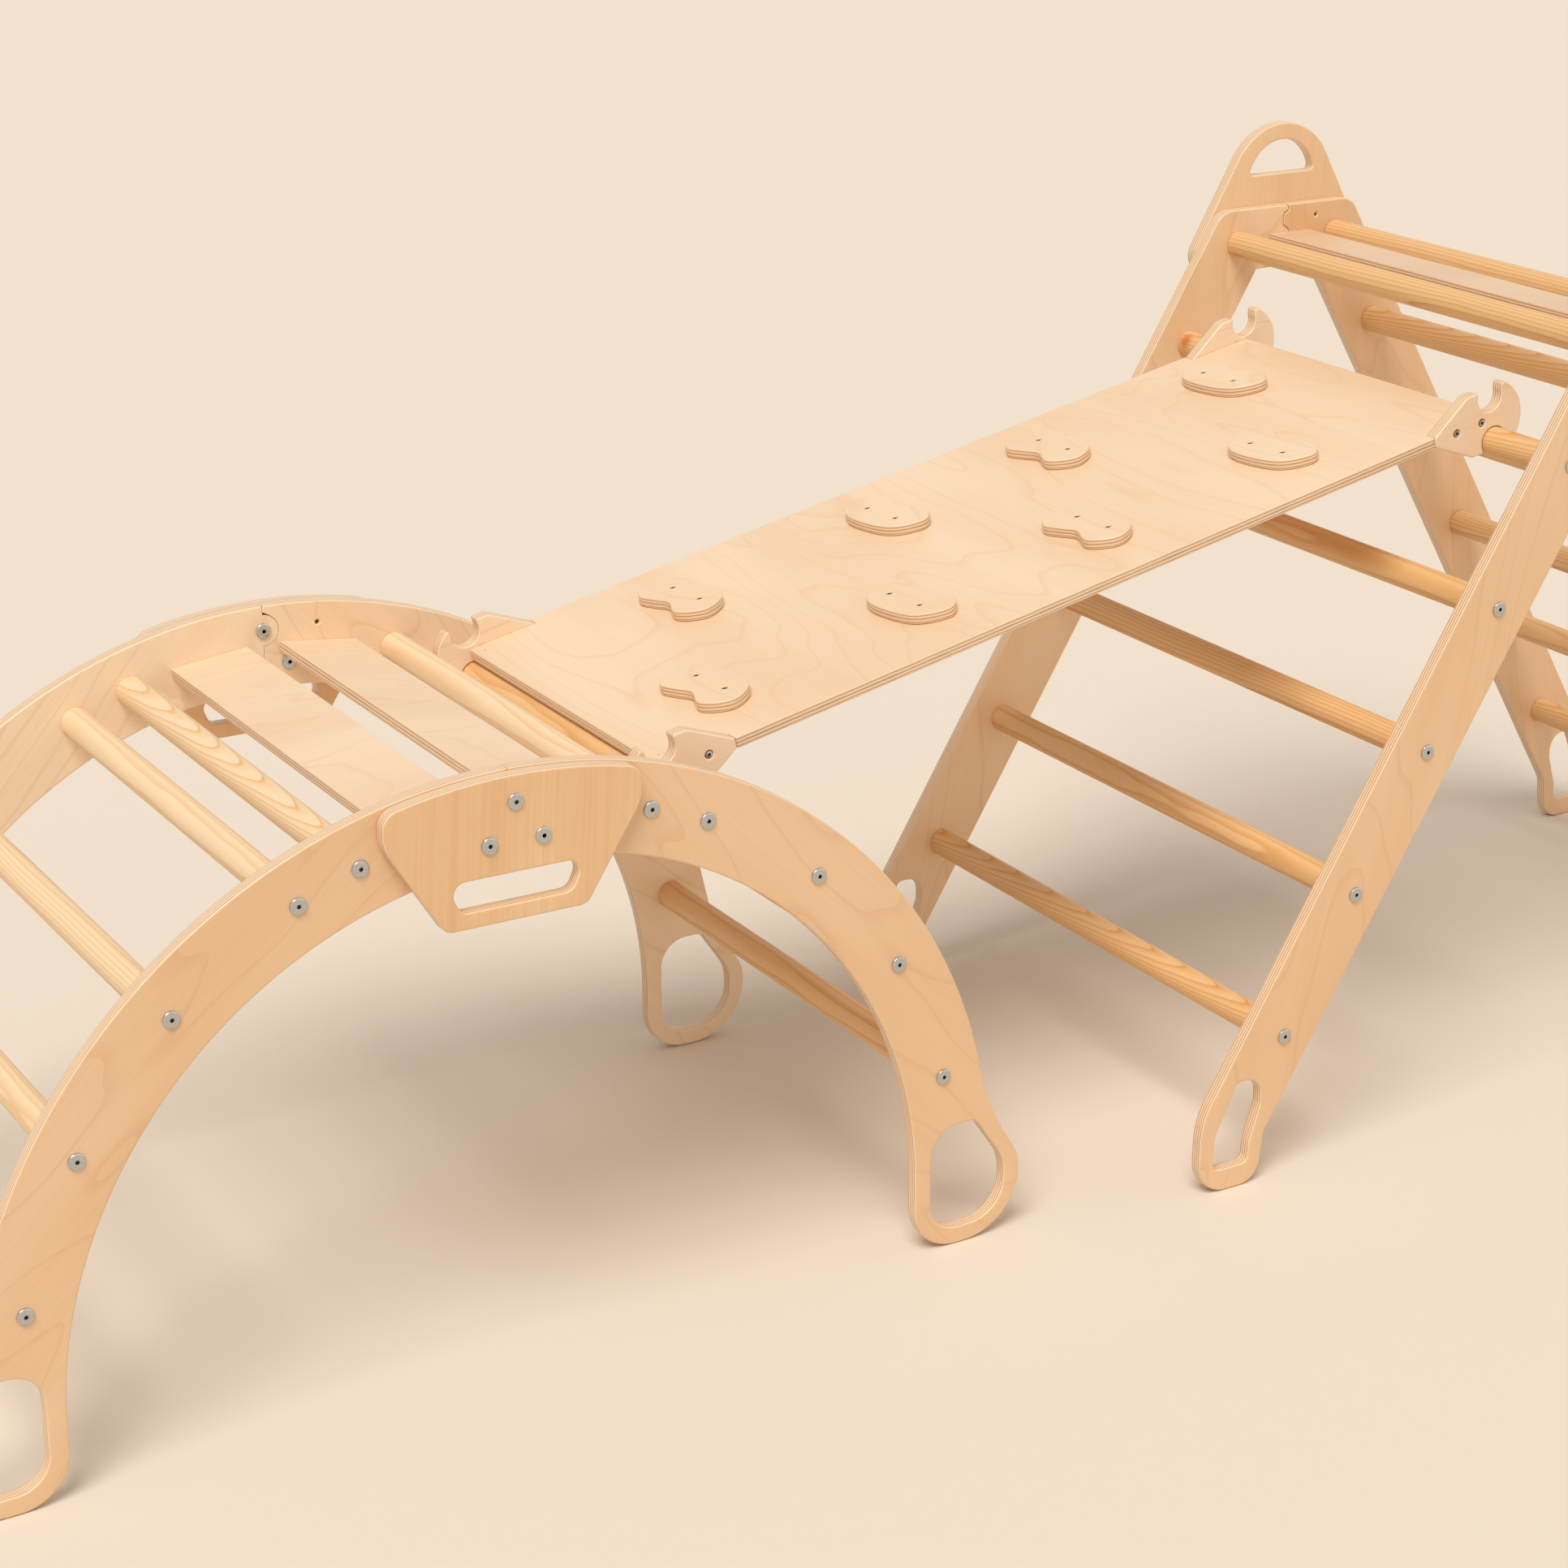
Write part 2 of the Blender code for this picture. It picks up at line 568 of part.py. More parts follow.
def build_arch():
    root = (0.0, 0.0)
    pin = (ARCH_X + ARCH_PIVOT[0], ARCH_PIVOT[1])
    lock = (ARCH_X + ARCH_LOCK[0], ARCH_LOCK[1])
    fixing = (ARCH_X + ARCH_FIXING[0], ARCH_FIXING[1])
    rungs = [arch_rung(number) for number in range(ARCH_RUNGS)]
    foot_hole = arch_foot_hole()
    screw_hole = circle(ARCH_SCREW, SCREW_HOLE_RADIUS, HOLE_SIDES)
    right_holes = [foot_hole, screw_hole, *bolt_holes([*rungs, ARCH_FIXING])]
    left_holes = [other_side(foot_hole), *bolt_holes([*other_side(rungs), ARCH_PIVOT, ARCH_LOCK])]
    plate_holes = [arch_slot_outline(), *bolt_holes([ARCH_PIVOT])]
    right_outline, *right_holes = placed([arch_right_outline(), *right_holes], ARCH_X)
    left_outline, *left_holes = placed([arch_left_outline(), *left_holes], ARCH_X)
    plate_outline, *plate_holes = placed([arch_plate_outline(), *plate_holes], ARCH_X)
    for sign in (-1, 1):
        side = side_name(sign)
        low, high = span(ARCH_HALF_WIDTH - PLY, ARCH_HALF_WIDTH, sign)
        right = prism(right_outline, right_holes, low, high)
        new_object(f"arch_right_panel_{side}", right, PALE_PLY, root)
        left = prism(left_outline, left_holes, low, high)
        new_object(f"arch_left_panel_{side}", left, PALE_PLY, pin)
        name = f"arch_plate_{side}"
        handle_plate(name, plate_outline, plate_holes, ARCH_HALF_WIDTH, sign, fixing, lock, root)
        pivot_pin(f"arch_pivot_{side}", pin, ARCH_HALF_WIDTH, sign, root)
        lock_nut(f"arch_lock_nut_{side}", lock, ARCH_HALF_WIDTH, sign, pin)
    for number, (x, z) in enumerate(rungs):
        rung(f"arch_right_rung_{number + 1}", (ARCH_X + x, z), ARCH_HALF_WIDTH, True, root)
        rung(f"arch_left_rung_{number + 1}", (ARCH_X - x, z), ARCH_HALF_WIDTH, True, pin)
    angle = math.radians(SLAT_DEG)
    slat_x = (ARC_OUTER - SLAT_INSET) * math.sin(angle)
    slat_z = ARC_CENTRE_Z + (ARC_OUTER - SLAT_INSET) * math.cos(angle)
    slat("arch_right_slat", (ARCH_X + slat_x, slat_z), -SLAT_DEG, SLAT_WIDTH, ARCH_HALF_WIDTH, root)
    slat("arch_left_slat", (ARCH_X - slat_x, slat_z), SLAT_DEG, SLAT_WIDTH, ARCH_HALF_WIDTH, pin)


def leg_x(z, side):
    """Where a right leg's edge is at a height: side 1 is its outer edge, -1 its inner edge."""
    return LEG_AXIS_FOOT_X + LEG_HALF_SPAN * side - LEG_RUN * z


def leg_flank():
    """A right leg, from its top's outer corner down round the foot and up to the crotch."""
    shoulder_z = (leg_x(0.0, 1) - TRI_HALF_LENGTH) / LEG_RUN
    heel_x = TRI_HALF_LENGTH - LEG_FOOT_WIDTH
    crotch_z = LEG_TOP_Z - TRI_CROTCH_DROP
    return [
        (leg_x(LEG_TOP_Z, 1), LEG_TOP_Z, LEG_TOP_RADIUS),
        (TRI_HALF_LENGTH, shoulder_z, LEG_FOOT_SHOULDER_RADIUS),
        (TRI_HALF_LENGTH, 0.0, LEG_FOOT_TOE_RADIUS),
        (heel_x, 0.0, LEG_FOOT_HEEL_RADIUS),
        (leg_x(LEG_FOOT_NECK_Z, -1), LEG_FOOT_NECK_Z, LEG_FOOT_NECK_RADIUS),
        (leg_x(crotch_z, -1), crotch_z),
    ]


def leg_foot_hole():
    corners = []
    for across, up, radius in LEG_HOLE_SHARES:
        x = TRI_HALF_LENGTH - LEG_FOOT_WIDTH * across
        corners.append((x, LEG_HOLE_TOP_Z * up, LEG_FOOT_WIDTH * radius))
    return rounded(corners)


def triangle_seam():
    """The line between the legs, from the top down to the pivot's height, with the right leg's tab.

    Both ends of the tab's lower flank are as far from the pivot, so the tab swings out of its recess.
    """
    low = LEG_TOP_Z - TAB_LOW_DROP
    high = LEG_TOP_Z - TAB_HIGH_DROP
    tab_x = TRI_SEAM_X - TAB_DEPTH
    reach = math.dist(TRI_PIVOT, (tab_x, low))
    root_z = TRI_PIVOT[1] + math.sqrt(reach ** 2 - (TRI_SEAM_X - TRI_PIVOT[0]) ** 2)
    corners = [
        (TRI_SEAM_X, TRI_PIVOT[1]),
        (TRI_SEAM_X, root_z, TAB_RADIUS),
        (tab_x, low, TAB_RADIUS),
        (tab_x, high - TAB_RADIUS, TAB_RADIUS),
        (TRI_SEAM_X, high, TAB_RADIUS / 2.0),
        (TRI_SEAM_X - SEAM_LEAN, LEG_TOP_Z),
    ]
    return list(reversed(rounded(corners)))


def leg_outline(is_left):
    """One leg's outline. The left and the right leg lie on the two sides of the seam."""
    crotch_z = LEG_TOP_Z - TRI_CROTCH_DROP
    flank = rounded([(0.0, LEG_TOP_Z)] + leg_flank() + [(0.0, crotch_z)])[1:-1]
    seam = offset(triangle_seam(), -GAP if is_left else GAP, False)
    seam[0] = (seam[0][0], LEG_TOP_Z)
    if not is_left:
        return seam + [(seam[-1][0], crotch_z)] + list(reversed(flank))
    heel_radius = seam[-1][0] - TRI_PIVOT[0]
    heel_deg = math.degrees(math.asin((crotch_z - TRI_PIVOT[1]) / heel_radius))
    heel = arc(TRI_PIVOT, heel_radius, 0.0, heel_deg, CORNER_STEP_DEG)
    return seam[:-1] + heel + other_side(reversed(flank))


def tri_plate_outline():
    slope = math.radians(TRI_PLATE_DEG)
    apex_z = TRI_PLATE_TOP_Z + TRI_PLATE_TOP_RADIUS * (1.0 / math.sin(slope) - 1.0)
    foot_x = (apex_z - TRI_PLATE_BOTTOM_Z) * math.tan(slope)
    return rounded([
        (0.0, apex_z, TRI_PLATE_TOP_RADIUS),
        (foot_x, TRI_PLATE_BOTTOM_Z, TRI_PLATE_CORNER_RADIUS),
        (-foot_x, TRI_PLATE_BOTTOM_Z, TRI_PLATE_CORNER_RADIUS),
    ])


def grip_outline():
    centre_z = TRI_PLATE_TOP_Z - GRIP_RIM - GRIP_RADIUS
    bottom_z = TRI_PLATE_TOP_Z - GRIP_RIM - GRIP_HEIGHT
    low_deg = math.degrees(math.asin((bottom_z + GRIP_CORNER_RADIUS - centre_z) / GRIP_RADIUS))
    top = arc((0.0, centre_z), GRIP_RADIUS, low_deg, 180.0 - low_deg, CORNER_STEP_DEG)
    corner_x = math.sqrt(GRIP_RADIUS ** 2 - (bottom_z - centre_z) ** 2)
    corners = [(-corner_x, bottom_z, GRIP_CORNER_RADIUS), (corner_x, bottom_z, GRIP_CORNER_RADIUS)]
    return rounded(top[1:-1] + corners)


def build_triangle():
    middle = (TRI_X, 0.0)
    pin = (TRI_X + TRI_PIVOT[0], TRI_PIVOT[1])
    lock = (TRI_X + TRI_LOCK[0], TRI_LOCK[1])
    fixing = (TRI_X + TRI_FIXING[0], TRI_FIXING[1])
    rungs = [ladder_rung(number) for number in range(LADDER_RUNGS)]
    foot_hole = leg_foot_hole()
    screw_hole = circle(TRI_SCREW, SCREW_HOLE_RADIUS, HOLE_SIDES)
    right_holes = [foot_hole, screw_hole, *bolt_holes([*rungs, TRI_FIXING])]
    left_holes = [other_side(foot_hole), *bolt_holes([*other_side(rungs), TRI_PIVOT])]
    plate_holes = [grip_outline(), *bolt_holes([TRI_PIVOT])]
    right_outline, *right_holes = placed([leg_outline(False), *right_holes], TRI_X)
    left_outline, *left_holes = placed([leg_outline(True), *left_holes], TRI_X)
    plate_outline, *plate_holes = placed([tri_plate_outline(), *plate_holes], TRI_X)
    for sign in (-1, 1):
        side = side_name(sign)
        low, high = span(TRI_HALF_WIDTH - PLY, TRI_HALF_WIDTH, sign)
        left = prism(left_outline, left_holes, low, high)
        new_object(f"tri_left_leg_{side}", left, PALE_PLY, middle)
        right = prism(right_outline, right_holes, low, high)
        new_object(f"tri_right_leg_{side}", right, PALE_PLY, pin)
        name = f"tri_plate_{side}"
        handle_plate(name, plate_outline, plate_holes, TRI_HALF_WIDTH, sign, fixing, lock, pin)
        pivot_pin(f"tri_pivot_{side}", pin, TRI_HALF_WIDTH, sign, pin)
    for number, (x, z) in enumerate(rungs):
        has_heads = number < LADDER_RUNGS - 1
        rung(f"tri_left_rung_{number + 1}", (TRI_X - x, z), TRI_HALF_WIDTH, has_heads, middle)
        rung(f"tri_right_rung_{number + 1}", (TRI_X + x, z), TRI_HALF_WIDTH, has_heads, pin)
    slat_centre = (TRI_X + TOP_SLAT_OFFSET, LEG_TOP_Z - TOP_SLAT_DROP)
    slat("tri_top_slat", slat_centre, 0.0, TOP_SLAT_WIDTH, TRI_HALF_WIDTH, pin)


def hook_outline(nose_radius):
    """One hook: s towards its nose, t from the board's middle plane, the same above and below."""
    notch = arc((0.0, RAMP_RISE), NOTCH_RADIUS, NOTCH_FROM_DEG, NOTCH_TO_DEG, CORNER_STEP_DEG)
    nose = arc((NOSE_CENTRE, 0.0), nose_radius, NOSE_DEG, 0.0, CORNER_STEP_DEG)
    upper = [
        (-HOOK_TAIL, HOOK_TAIL_HALF_HEIGHT, HOOK_TAIL_RADIUS),
        (-HOOK_SHOULDER, HOOK_HALF_HEIGHT, HOOK_SHOULDER_RADIUS),
        (notch[0][0], HOOK_HALF_HEIGHT, HOOK_LIP_RADIUS),
        *notch,
        (HOOK_TIP, HOOK_TIP_HEIGHT, HOOK_TIP_RADIUS),
        *nose,
    ]
    lower = [(corner[0], -corner[1], *corner[2:]) for corner in reversed(upper[:-1])]
    return rounded(upper + lower)


def board_outline():
    """The board seen from above, with a corner cut away at each hook."""
    shoulder = BOARD_HALF_WIDTH - PLY - GAP
    reach = HOOK_TAIL + GAP
    side = [
        (0.0, shoulder), (reach, shoulder), (reach, BOARD_HALF_WIDTH),
        (RAMP_SPAN - reach, BOARD_HALF_WIDTH), (RAMP_SPAN - reach, shoulder), (RAMP_SPAN, shoulder),
    ]
    return side + [(s, -y) for s, y in reversed(side)]


def lying(points, bottom, top, chamfer):
    """A plate that lies on the ramp: an outline in (s, y) between two heights t."""
    mesh = prism(points, [], bottom, top, chamfer)
    for vert in mesh.verts:
        vert.co = vert.co.xzy
    return mesh


def on_ramp(mesh):
    """Turns a mesh written as (s, y, t) into the set's frame."""
    low = Vector((ARCH_X + RAMP_LOW[0], 0.0, RAMP_LOW[1]))
    along = Vector((RAMP_RUN, 0.0, RAMP_HIGH[1] - RAMP_LOW[1])).normalized()
    up = Vector((-along.z, 0.0, along.x))
    for vert in mesh.verts:
        s, y, t = vert.co
        vert.co = low + along * s + up * t
        vert.co.y = y
    return mesh


def build_ramp():
    pivot = (TRI_X - RAMP_HIGH[0], RAMP_HIGH[1])
    bottom = RAMP_RISE - THIN_PLY / 2.0
    top = RAMP_RISE + THIN_PLY / 2.0
    new_object("ramp_board", on_ramp(lying(board_outline(), bottom, top, SMALL_CHAMFER)), PALE_PLY, pivot)
    ends = (("low", 0.0, -1, LOW_NOSE_RADIUS), ("high", RAMP_SPAN, 1, HIGH_NOSE_RADIUS))
    for label, start, facing, nose_radius in ends:
        points = [(start + facing * s, RAMP_RISE + t) for s, t in hook_outline(nose_radius)]
        for sign in (-1, 1):
            low, high = span(BOARD_HALF_WIDTH - PLY, BOARD_HALF_WIDTH, sign)
            hook = on_ramp(prism(points, [], low, high))
            new_object(f"ramp_hook_{label}_{side_name(sign)}", hook, PALE_PLY, pivot)
    hold = smooth_loop([(HOLD_WIDTH * a, HOLD_LENGTH * b) for a, b in HOLD_SHARES], HOLD_CURVE_STEPS)
    seat = top + GAP
    number = 0
    for row_y, shares in ((-ROW_Y, FRONT_ROW_SHARES), (ROW_Y, BACK_ROW_SHARES)):
        for index, share in enumerate(shares):
            number += 1
            facing = 1.0 if index % 2 == 0 else -1.0
            points = [(RAMP_SPAN * share + facing * a, row_y + facing * b) for a, b in hold]
            piece = on_ramp(lying(points, seat, seat + THIN_PLY, EDGE_CHAMFER))
            new_object(f"ramp_hold_{number}", piece, PALE_PLY, pivot)


clear_scene()
build_arch()
build_triangle()
build_ramp()
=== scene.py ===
"""A climbing arch, a ladder triangle and a ramp, dressed in birch plywood, pine and zinc-plated steel.

Lengths are in metres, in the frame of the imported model: X runs from the arch towards the triangle,
Y across the set and Z up.
"""

import logging
import math
from collections.abc import Iterable, Sequence
from dataclasses import dataclass
from enum import Enum

import bmesh
import bpy
from mathutils import Euler, Matrix, Vector
from mathutils.kdtree import KDTree


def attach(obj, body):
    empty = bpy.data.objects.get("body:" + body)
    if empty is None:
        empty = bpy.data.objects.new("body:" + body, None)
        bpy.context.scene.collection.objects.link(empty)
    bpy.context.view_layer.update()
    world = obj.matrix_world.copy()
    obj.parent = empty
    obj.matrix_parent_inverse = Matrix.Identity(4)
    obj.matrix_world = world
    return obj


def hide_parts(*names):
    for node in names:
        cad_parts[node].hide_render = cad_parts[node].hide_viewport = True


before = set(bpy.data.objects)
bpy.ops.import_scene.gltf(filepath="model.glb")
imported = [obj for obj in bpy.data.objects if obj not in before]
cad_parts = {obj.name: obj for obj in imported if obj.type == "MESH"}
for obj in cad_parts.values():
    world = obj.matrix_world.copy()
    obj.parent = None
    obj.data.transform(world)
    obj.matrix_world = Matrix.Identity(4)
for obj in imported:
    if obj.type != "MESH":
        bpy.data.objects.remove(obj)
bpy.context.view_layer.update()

LOG = logging.getLogger("climbing_set")

Point = tuple[float, float]
Triple = tuple[float, float, float]
Material = bpy.types.Material
Mesh = bmesh.types.BMesh
Socket = bpy.types.NodeSocket
Tree = bpy.types.NodeTree

PLY = 0.015
THIN_PLY = 0.012
GAP = 0.0003
RUNG_RADIUS = 0.016
SHANK_RADIUS = 0.003
HEAD_RADIUS = 0.0082
SCREW_HOLE_RADIUS = 0.0024
PIVOT_OFFSET = 0.0275
ARCH_X = -0.70217
TRI_X = 0.68577

# How far a shank runs past the face that its head lies on, so that the two meet.
SHANK_SINK = 0.0002
# A seam's edges keep this share of the router's rounding.
SEAM_ROUNDING = 0.15
# Faces that meet at more than this angle keep a sharp edge between them.
SHARP_DEG = 34.0
WELD = 1e-6

RUNG_SIDES = 48
HEAD_SIDES = 36
BOLT_SIDES = 24
SHANK_SIDES = 16
RING_STEP_DEG = 1.5
SMALL_HOLE_DEG = 22.5


class Side(Enum):
    """Which long side of the set a piece is on, as the sign of its Y."""

    FRONT = -1
    BACK = 1

    @property
    def label(self) -> str:
        """The word used in node names."""
        return self.name.lower()

    def layer(self, outer: float) -> Point:
        """The low and high y of a 15 mm sheet whose outer face is this far from the middle."""
        return tuple(sorted((self.value * (outer - PLY), self.value * outer)))


class End(Enum):
    """Which way a half or a hook faces, as the sign of its X."""

    LEFT = -1
    RIGHT = 1

    @property
    def label(self) -> str:
        """The word used in node names."""
        return self.name.lower()


# The sheets at the back are painted paler than those at the front, as painted light on the back panels, and
# the back left leg is painted paler for the same painted light. The ones that lie flat are painted in
# between, as painted light from above.
SIDE_TONES_WITH_PAINTED_LIGHT = {
    Side.FRONT: {"pale": "EFCAA1", "warm_and_painted_shade": "E7BC8D"},
    Side.BACK: {"pale": "F9E0C0", "warm_and_painted_shade": "F4D3AD"},
}
BACK_LEG_PAINTED_LIGHT_TONES = {"pale": "F5D6AF", "warm_and_painted_shade": "EEC89D"}
FLAT_PAINTED_LIGHT_TONES = {"pale": "F0D5B6", "warm_and_painted_shade": "E9C9A5"}
TOP_SLAT_TONES = {"pale": "E3C3A1", "warm_and_painted_shade": "DBB793"}
HOOK_TONES = {"pale": "FBE6CB", "warm_and_painted_shade": "F6DAB8"}


def linear(hex_colour: str) -> tuple[float, float, float, float]:
    """Turns an sRGB hex colour into linear light.

    Args:
        hex_colour: Six hex digits, with or without a leading hash.

    Returns:
        Red, green, blue and an alpha of 1.
    """
    digits = hex_colour.lstrip("#")
    channels = [int(digits[i:i + 2], 16) / 255.0 for i in (0, 2, 4)]
    light = [c / 12.92 if c <= 0.04045 else ((c + 0.055) / 1.055) ** 2.4 for c in channels]
    return (light[0], light[1], light[2], 1.0)


def add_node(
    tree: Tree, kind: str, inputs: dict[int | str, object] | None = None, **settings: object,
) -> bpy.types.Node:
    """Adds a shader node with its settings, its typed-in values and its links.

    Args:
        tree: The node tree that gets the node.
        kind: The node's Blender type, without ShaderNode in front.
        inputs: A value or the socket that feeds it, by the input's name or number.
        **settings: Attributes of the node.

    Returns:
        The new node.
    """
    node = tree.nodes.new(f"ShaderNode{kind}")
    for name, setting in settings.items():
        setattr(node, name, setting)
    for key, value in (inputs or {}).items():
        if isinstance(value, Socket):
            tree.links.new(value, node.inputs[key])
        else:
            node.inputs[key].default_value = value
    return node


def set_ramp(node: bpy.types.Node, stops: Sequence[tuple[float, str]]) -> Socket:
    """Fills a colour ramp.

    Args:
        node: The ramp node.
        stops: Positions from 0 to 1 with an sRGB hex colour each.

    Returns:
        The ramp's colour output.
    """
    elements = node.color_ramp.elements
    while len(elements) < len(stops):
        elements.new(0.5)
    for element, (position, colour) in zip(elements, stops):
        element.position = position
        element.color = linear(colour)
    return node.outputs["Color"]


def stretched_noise(
    tree: Tree, source: Socket, cells: Triple, detail: float, roughness: float = 0.5, distortion: float = 0.0,
) -> Socket:
    """Lays a noise pattern whose cells may be longer one way than another.

    Args:
        tree: The material's tree.
        source: The coordinates in metres.
        cells: How many cells a metre holds along each coordinate, so 1000 over a cell's size in mm.
        detail: How many finer layers lie on the first.
        roughness: How strong each finer layer is.
        distortion: How far the cells are bent.

    Returns:
        The pattern, from 0 to 1.
    """
    scaled = add_node(tree, "VectorMath", {0: source, 1: cells}, operation="MULTIPLY").outputs[0]
    return add_node(tree, "TexNoise", {
        "Vector": scaled, "Scale": 1.0, "Detail": detail, "Roughness": roughness, "Distortion": distortion,
    }).outputs["Fac"]


def tinted(
    tree: Tree, colour: Socket, pattern: Socket, reach: Point, amount: float, tint: str,
    interpolation: str = "LINEAR",
) -> Socket:
    """Lays a tint over a colour where a pattern says so.

    Args:
        tree: The material's tree.
        colour: The colour below.
        pattern: The pattern.
        reach: The pattern's values at which the tint starts and is full.
        amount: The tint's share where it is full.
        tint: Its sRGB hex colour.
        interpolation: How it rises between the two.

    Returns:
        The tinted colour.
    """
    start, full = reach
    strength = add_node(tree, "MapRange", {
        "Value": pattern, "From Min": start, "From Max": full, "To Min": 0.0, "To Max": amount,
    }, interpolation_type=interpolation).outputs["Result"]
    return add_node(
        tree, "Mix", {"Factor": strength, "A": colour, "B": linear(tint)}, data_type="RGBA",
    ).outputs["Result"]


def new_material(name: str, **shine: float) -> tuple[Material, bpy.types.Node]:
    """Makes an empty material with a Principled shader.

    Args:
        name: The material's name.
        **shine: Values of the shader's sockets, with an underscore for a blank.

    Returns:
        The material and its shader node.
    """
    made = bpy.data.materials.new(name)
    made.use_nodes = True
    shader = made.node_tree.nodes["Principled BSDF"]
    for socket, value in shine.items():
        shader.inputs[socket.replace("_", " ")].default_value = value
    return made, shader


def add_relief(tree: Tree, shader: bpy.types.Node, height: Socket, strength: float, depth: float) -> None:
    """Adds slight relief to a material.

    Args:
        tree: The material's tree.
        shader: Its shader.
        height: The relief's pattern.
        strength: How much of it shows.
        depth: Its height in metres.
    """
    bump = add_node(tree, "Bump", {"Strength": strength, "Distance": depth, "Height": height})
    tree.links.new(bump.outputs["Normal"], shader.inputs["Normal"])


@dataclass(frozen=True)
class SheetFrame:
    """How a sheet of plywood lies: its middle plane, face grain and face normal."""

    origin: Triple = (0.0, 0.0, 0.0)
    grain: Triple = (1.0, 0.0, 0.0)
    normal: Triple = (0.0, 1.0, 0.0)

    def mapping(self) -> tuple[Euler, Vector]:
        """Works out a Mapping node's rotation and place.

        Returns:
            The rotation and location that turn object coordinates into along, across and depth.
        """
        along = Vector(self.grain).normalized()
        depth = Vector(self.normal).normalized()
        across = depth.cross(along)
        turn = Matrix((along, across, depth))
        return turn.to_euler("XYZ"), -(turn @ Vector(self.origin))


@dataclass(frozen=True)
class BirchPlywood:
    """Birch plywood under clear matt varnish, sanded, with its cut edges left showing.

    The rotary-cut face veneer gives the eye a pale, faintly pink sheet with soft contour-like figure.
    The edge shows pale long grain in turn with browner end grain and thin glue lines. Real plies of
    1.35 mm are too fine to show from 3.7 m, so they are drawn 1.7 mm thick.
    """

    name: str
    sheet: SheetFrame
    half_depth: float = 0.0
    thickness: float = PLY
    pale: str = "EFCAA1"
    warm_and_painted_shade: str = "E7BC8D"
    streak: str = "CD9661"
    figure: float = 0.2
    stripe: float = 0.07
    ply_pale: str = "F1D6B4"
    ply_dark: str = "C79C76"
    glue: str = "A06E4C"
    roughness: float = 0.46
    ply_width: float = 0.00172
    wave: float = 0.00022

    def build(self) -> Material:
        """Builds the material.

        Returns:
            The finished material.
        """
        made, shader = new_material(
            self.name, Roughness=self.roughness, IOR=1.5, Coat_Weight=0.5, Coat_Roughness=0.4,
        )
        tree = made.node_tree
        turn, place = self.sheet.mapping()
        texture = add_node(tree, "TexCoord")
        local = add_node(
            tree, "Mapping", {"Rotation": turn, "Location": place, "Vector": texture.outputs["Object"]},
            vector_type="POINT",
        ).outputs["Vector"]
        face = self.face_colour(tree, local)
        depth = self.depth_from_face(tree, local)
        tree.links.new(self.with_edges(tree, local, face, depth), shader.inputs["Base Color"])
        # Open pores are 1.2 mm wide and about 20 mm long.
        pores = stretched_noise(tree, local, (45.0, 800.0, 800.0), 1.0)
        add_relief(tree, shader, pores, 0.08, 0.0006)
        return made

    def face_colour(self, tree: Tree, local: Socket) -> Socket:
        """Mixes the face veneer's tone, figure and fibres.

        Args:
            tree: The material's tree.
            local: Along, across and depth in metres.

        Returns:
            The face's colour.
        """
        # Broad patches of tone are about 600 mm long and 140 mm wide.
        tone = stretched_noise(tree, local, (1.6, 7.0, 3.0), 3.0)
        colour = set_ramp(add_node(tree, "ValToRGB", {"Fac": tone}), [(0.32, self.warm_and_painted_shade), (0.62, self.pale)])
        # The figure is drawn as the height lines of a slow field, 20 to 60 mm apart, as a peeled log shows.
        height = stretched_noise(tree, local, (1.0, 4.4, 1.7), 2.5, 0.42, 0.25)
        rings = add_node(tree, "Math", {0: height, 1: 20.0}, operation="MULTIPLY").outputs[0]
        saw = add_node(tree, "Math", {0: rings}, operation="FRACT").outputs[0]
        colour = tinted(tree, colour, saw, (0.84, 0.99), self.figure, self.streak, "SMOOTHSTEP")
        # Straight streaks 4 mm apart, fibres under 2 mm apart and dashes 6 mm long lie along the grain.
        for cells, reach, amount, tint in (
            ((3.0, 230.0, 30.0), (0.4, 0.72), self.stripe, self.streak),
            ((26.0, 640.0, 60.0), (0.42, 0.75), 0.22, self.warm_and_painted_shade),
            ((160.0, 900.0, 160.0), (0.70, 0.76), 0.4, self.streak),
        ):
            threads = stretched_noise(tree, local, cells, 2.0, 0.6)
            colour = tinted(tree, colour, threads, reach, amount, tint)
        return colour

    def depth_from_face(self, tree: Tree, local: Socket) -> Socket:
        """Measures how deep a point lies below the nearer face.

        Args:
            tree: The material's tree.
            local: Along, across and depth in metres.

        Returns:
            The depth in metres.
        """
        split = add_node(tree, "SeparateXYZ", {0: local})
        folded = add_node(tree, "Math", {0: split.outputs["Z"]}, operation="ABSOLUTE").outputs[0]
        middle = add_node(tree, "Math", {0: folded, 1: self.half_depth}, operation="SUBTRACT").outputs[0]
        off_middle = add_node(tree, "Math", {0: middle}, operation="ABSOLUTE").outputs[0]
        return add_node(
            tree, "Math", {0: self.thickness / 2.0, 1: off_middle}, operation="SUBTRACT",
        ).outputs[0]

    def with_edges(self, tree: Tree, local: Socket, face: Socket, depth: Socket) -> Socket:
        """Draws the plies on the cut edges, under the face veneer.

        Args:
            tree: The material's tree.
            local: Along, across and depth in metres.
            face: The face's colour.
            depth: Depth below the nearer face.

        Returns:
            The whole sheet's colour.
        """
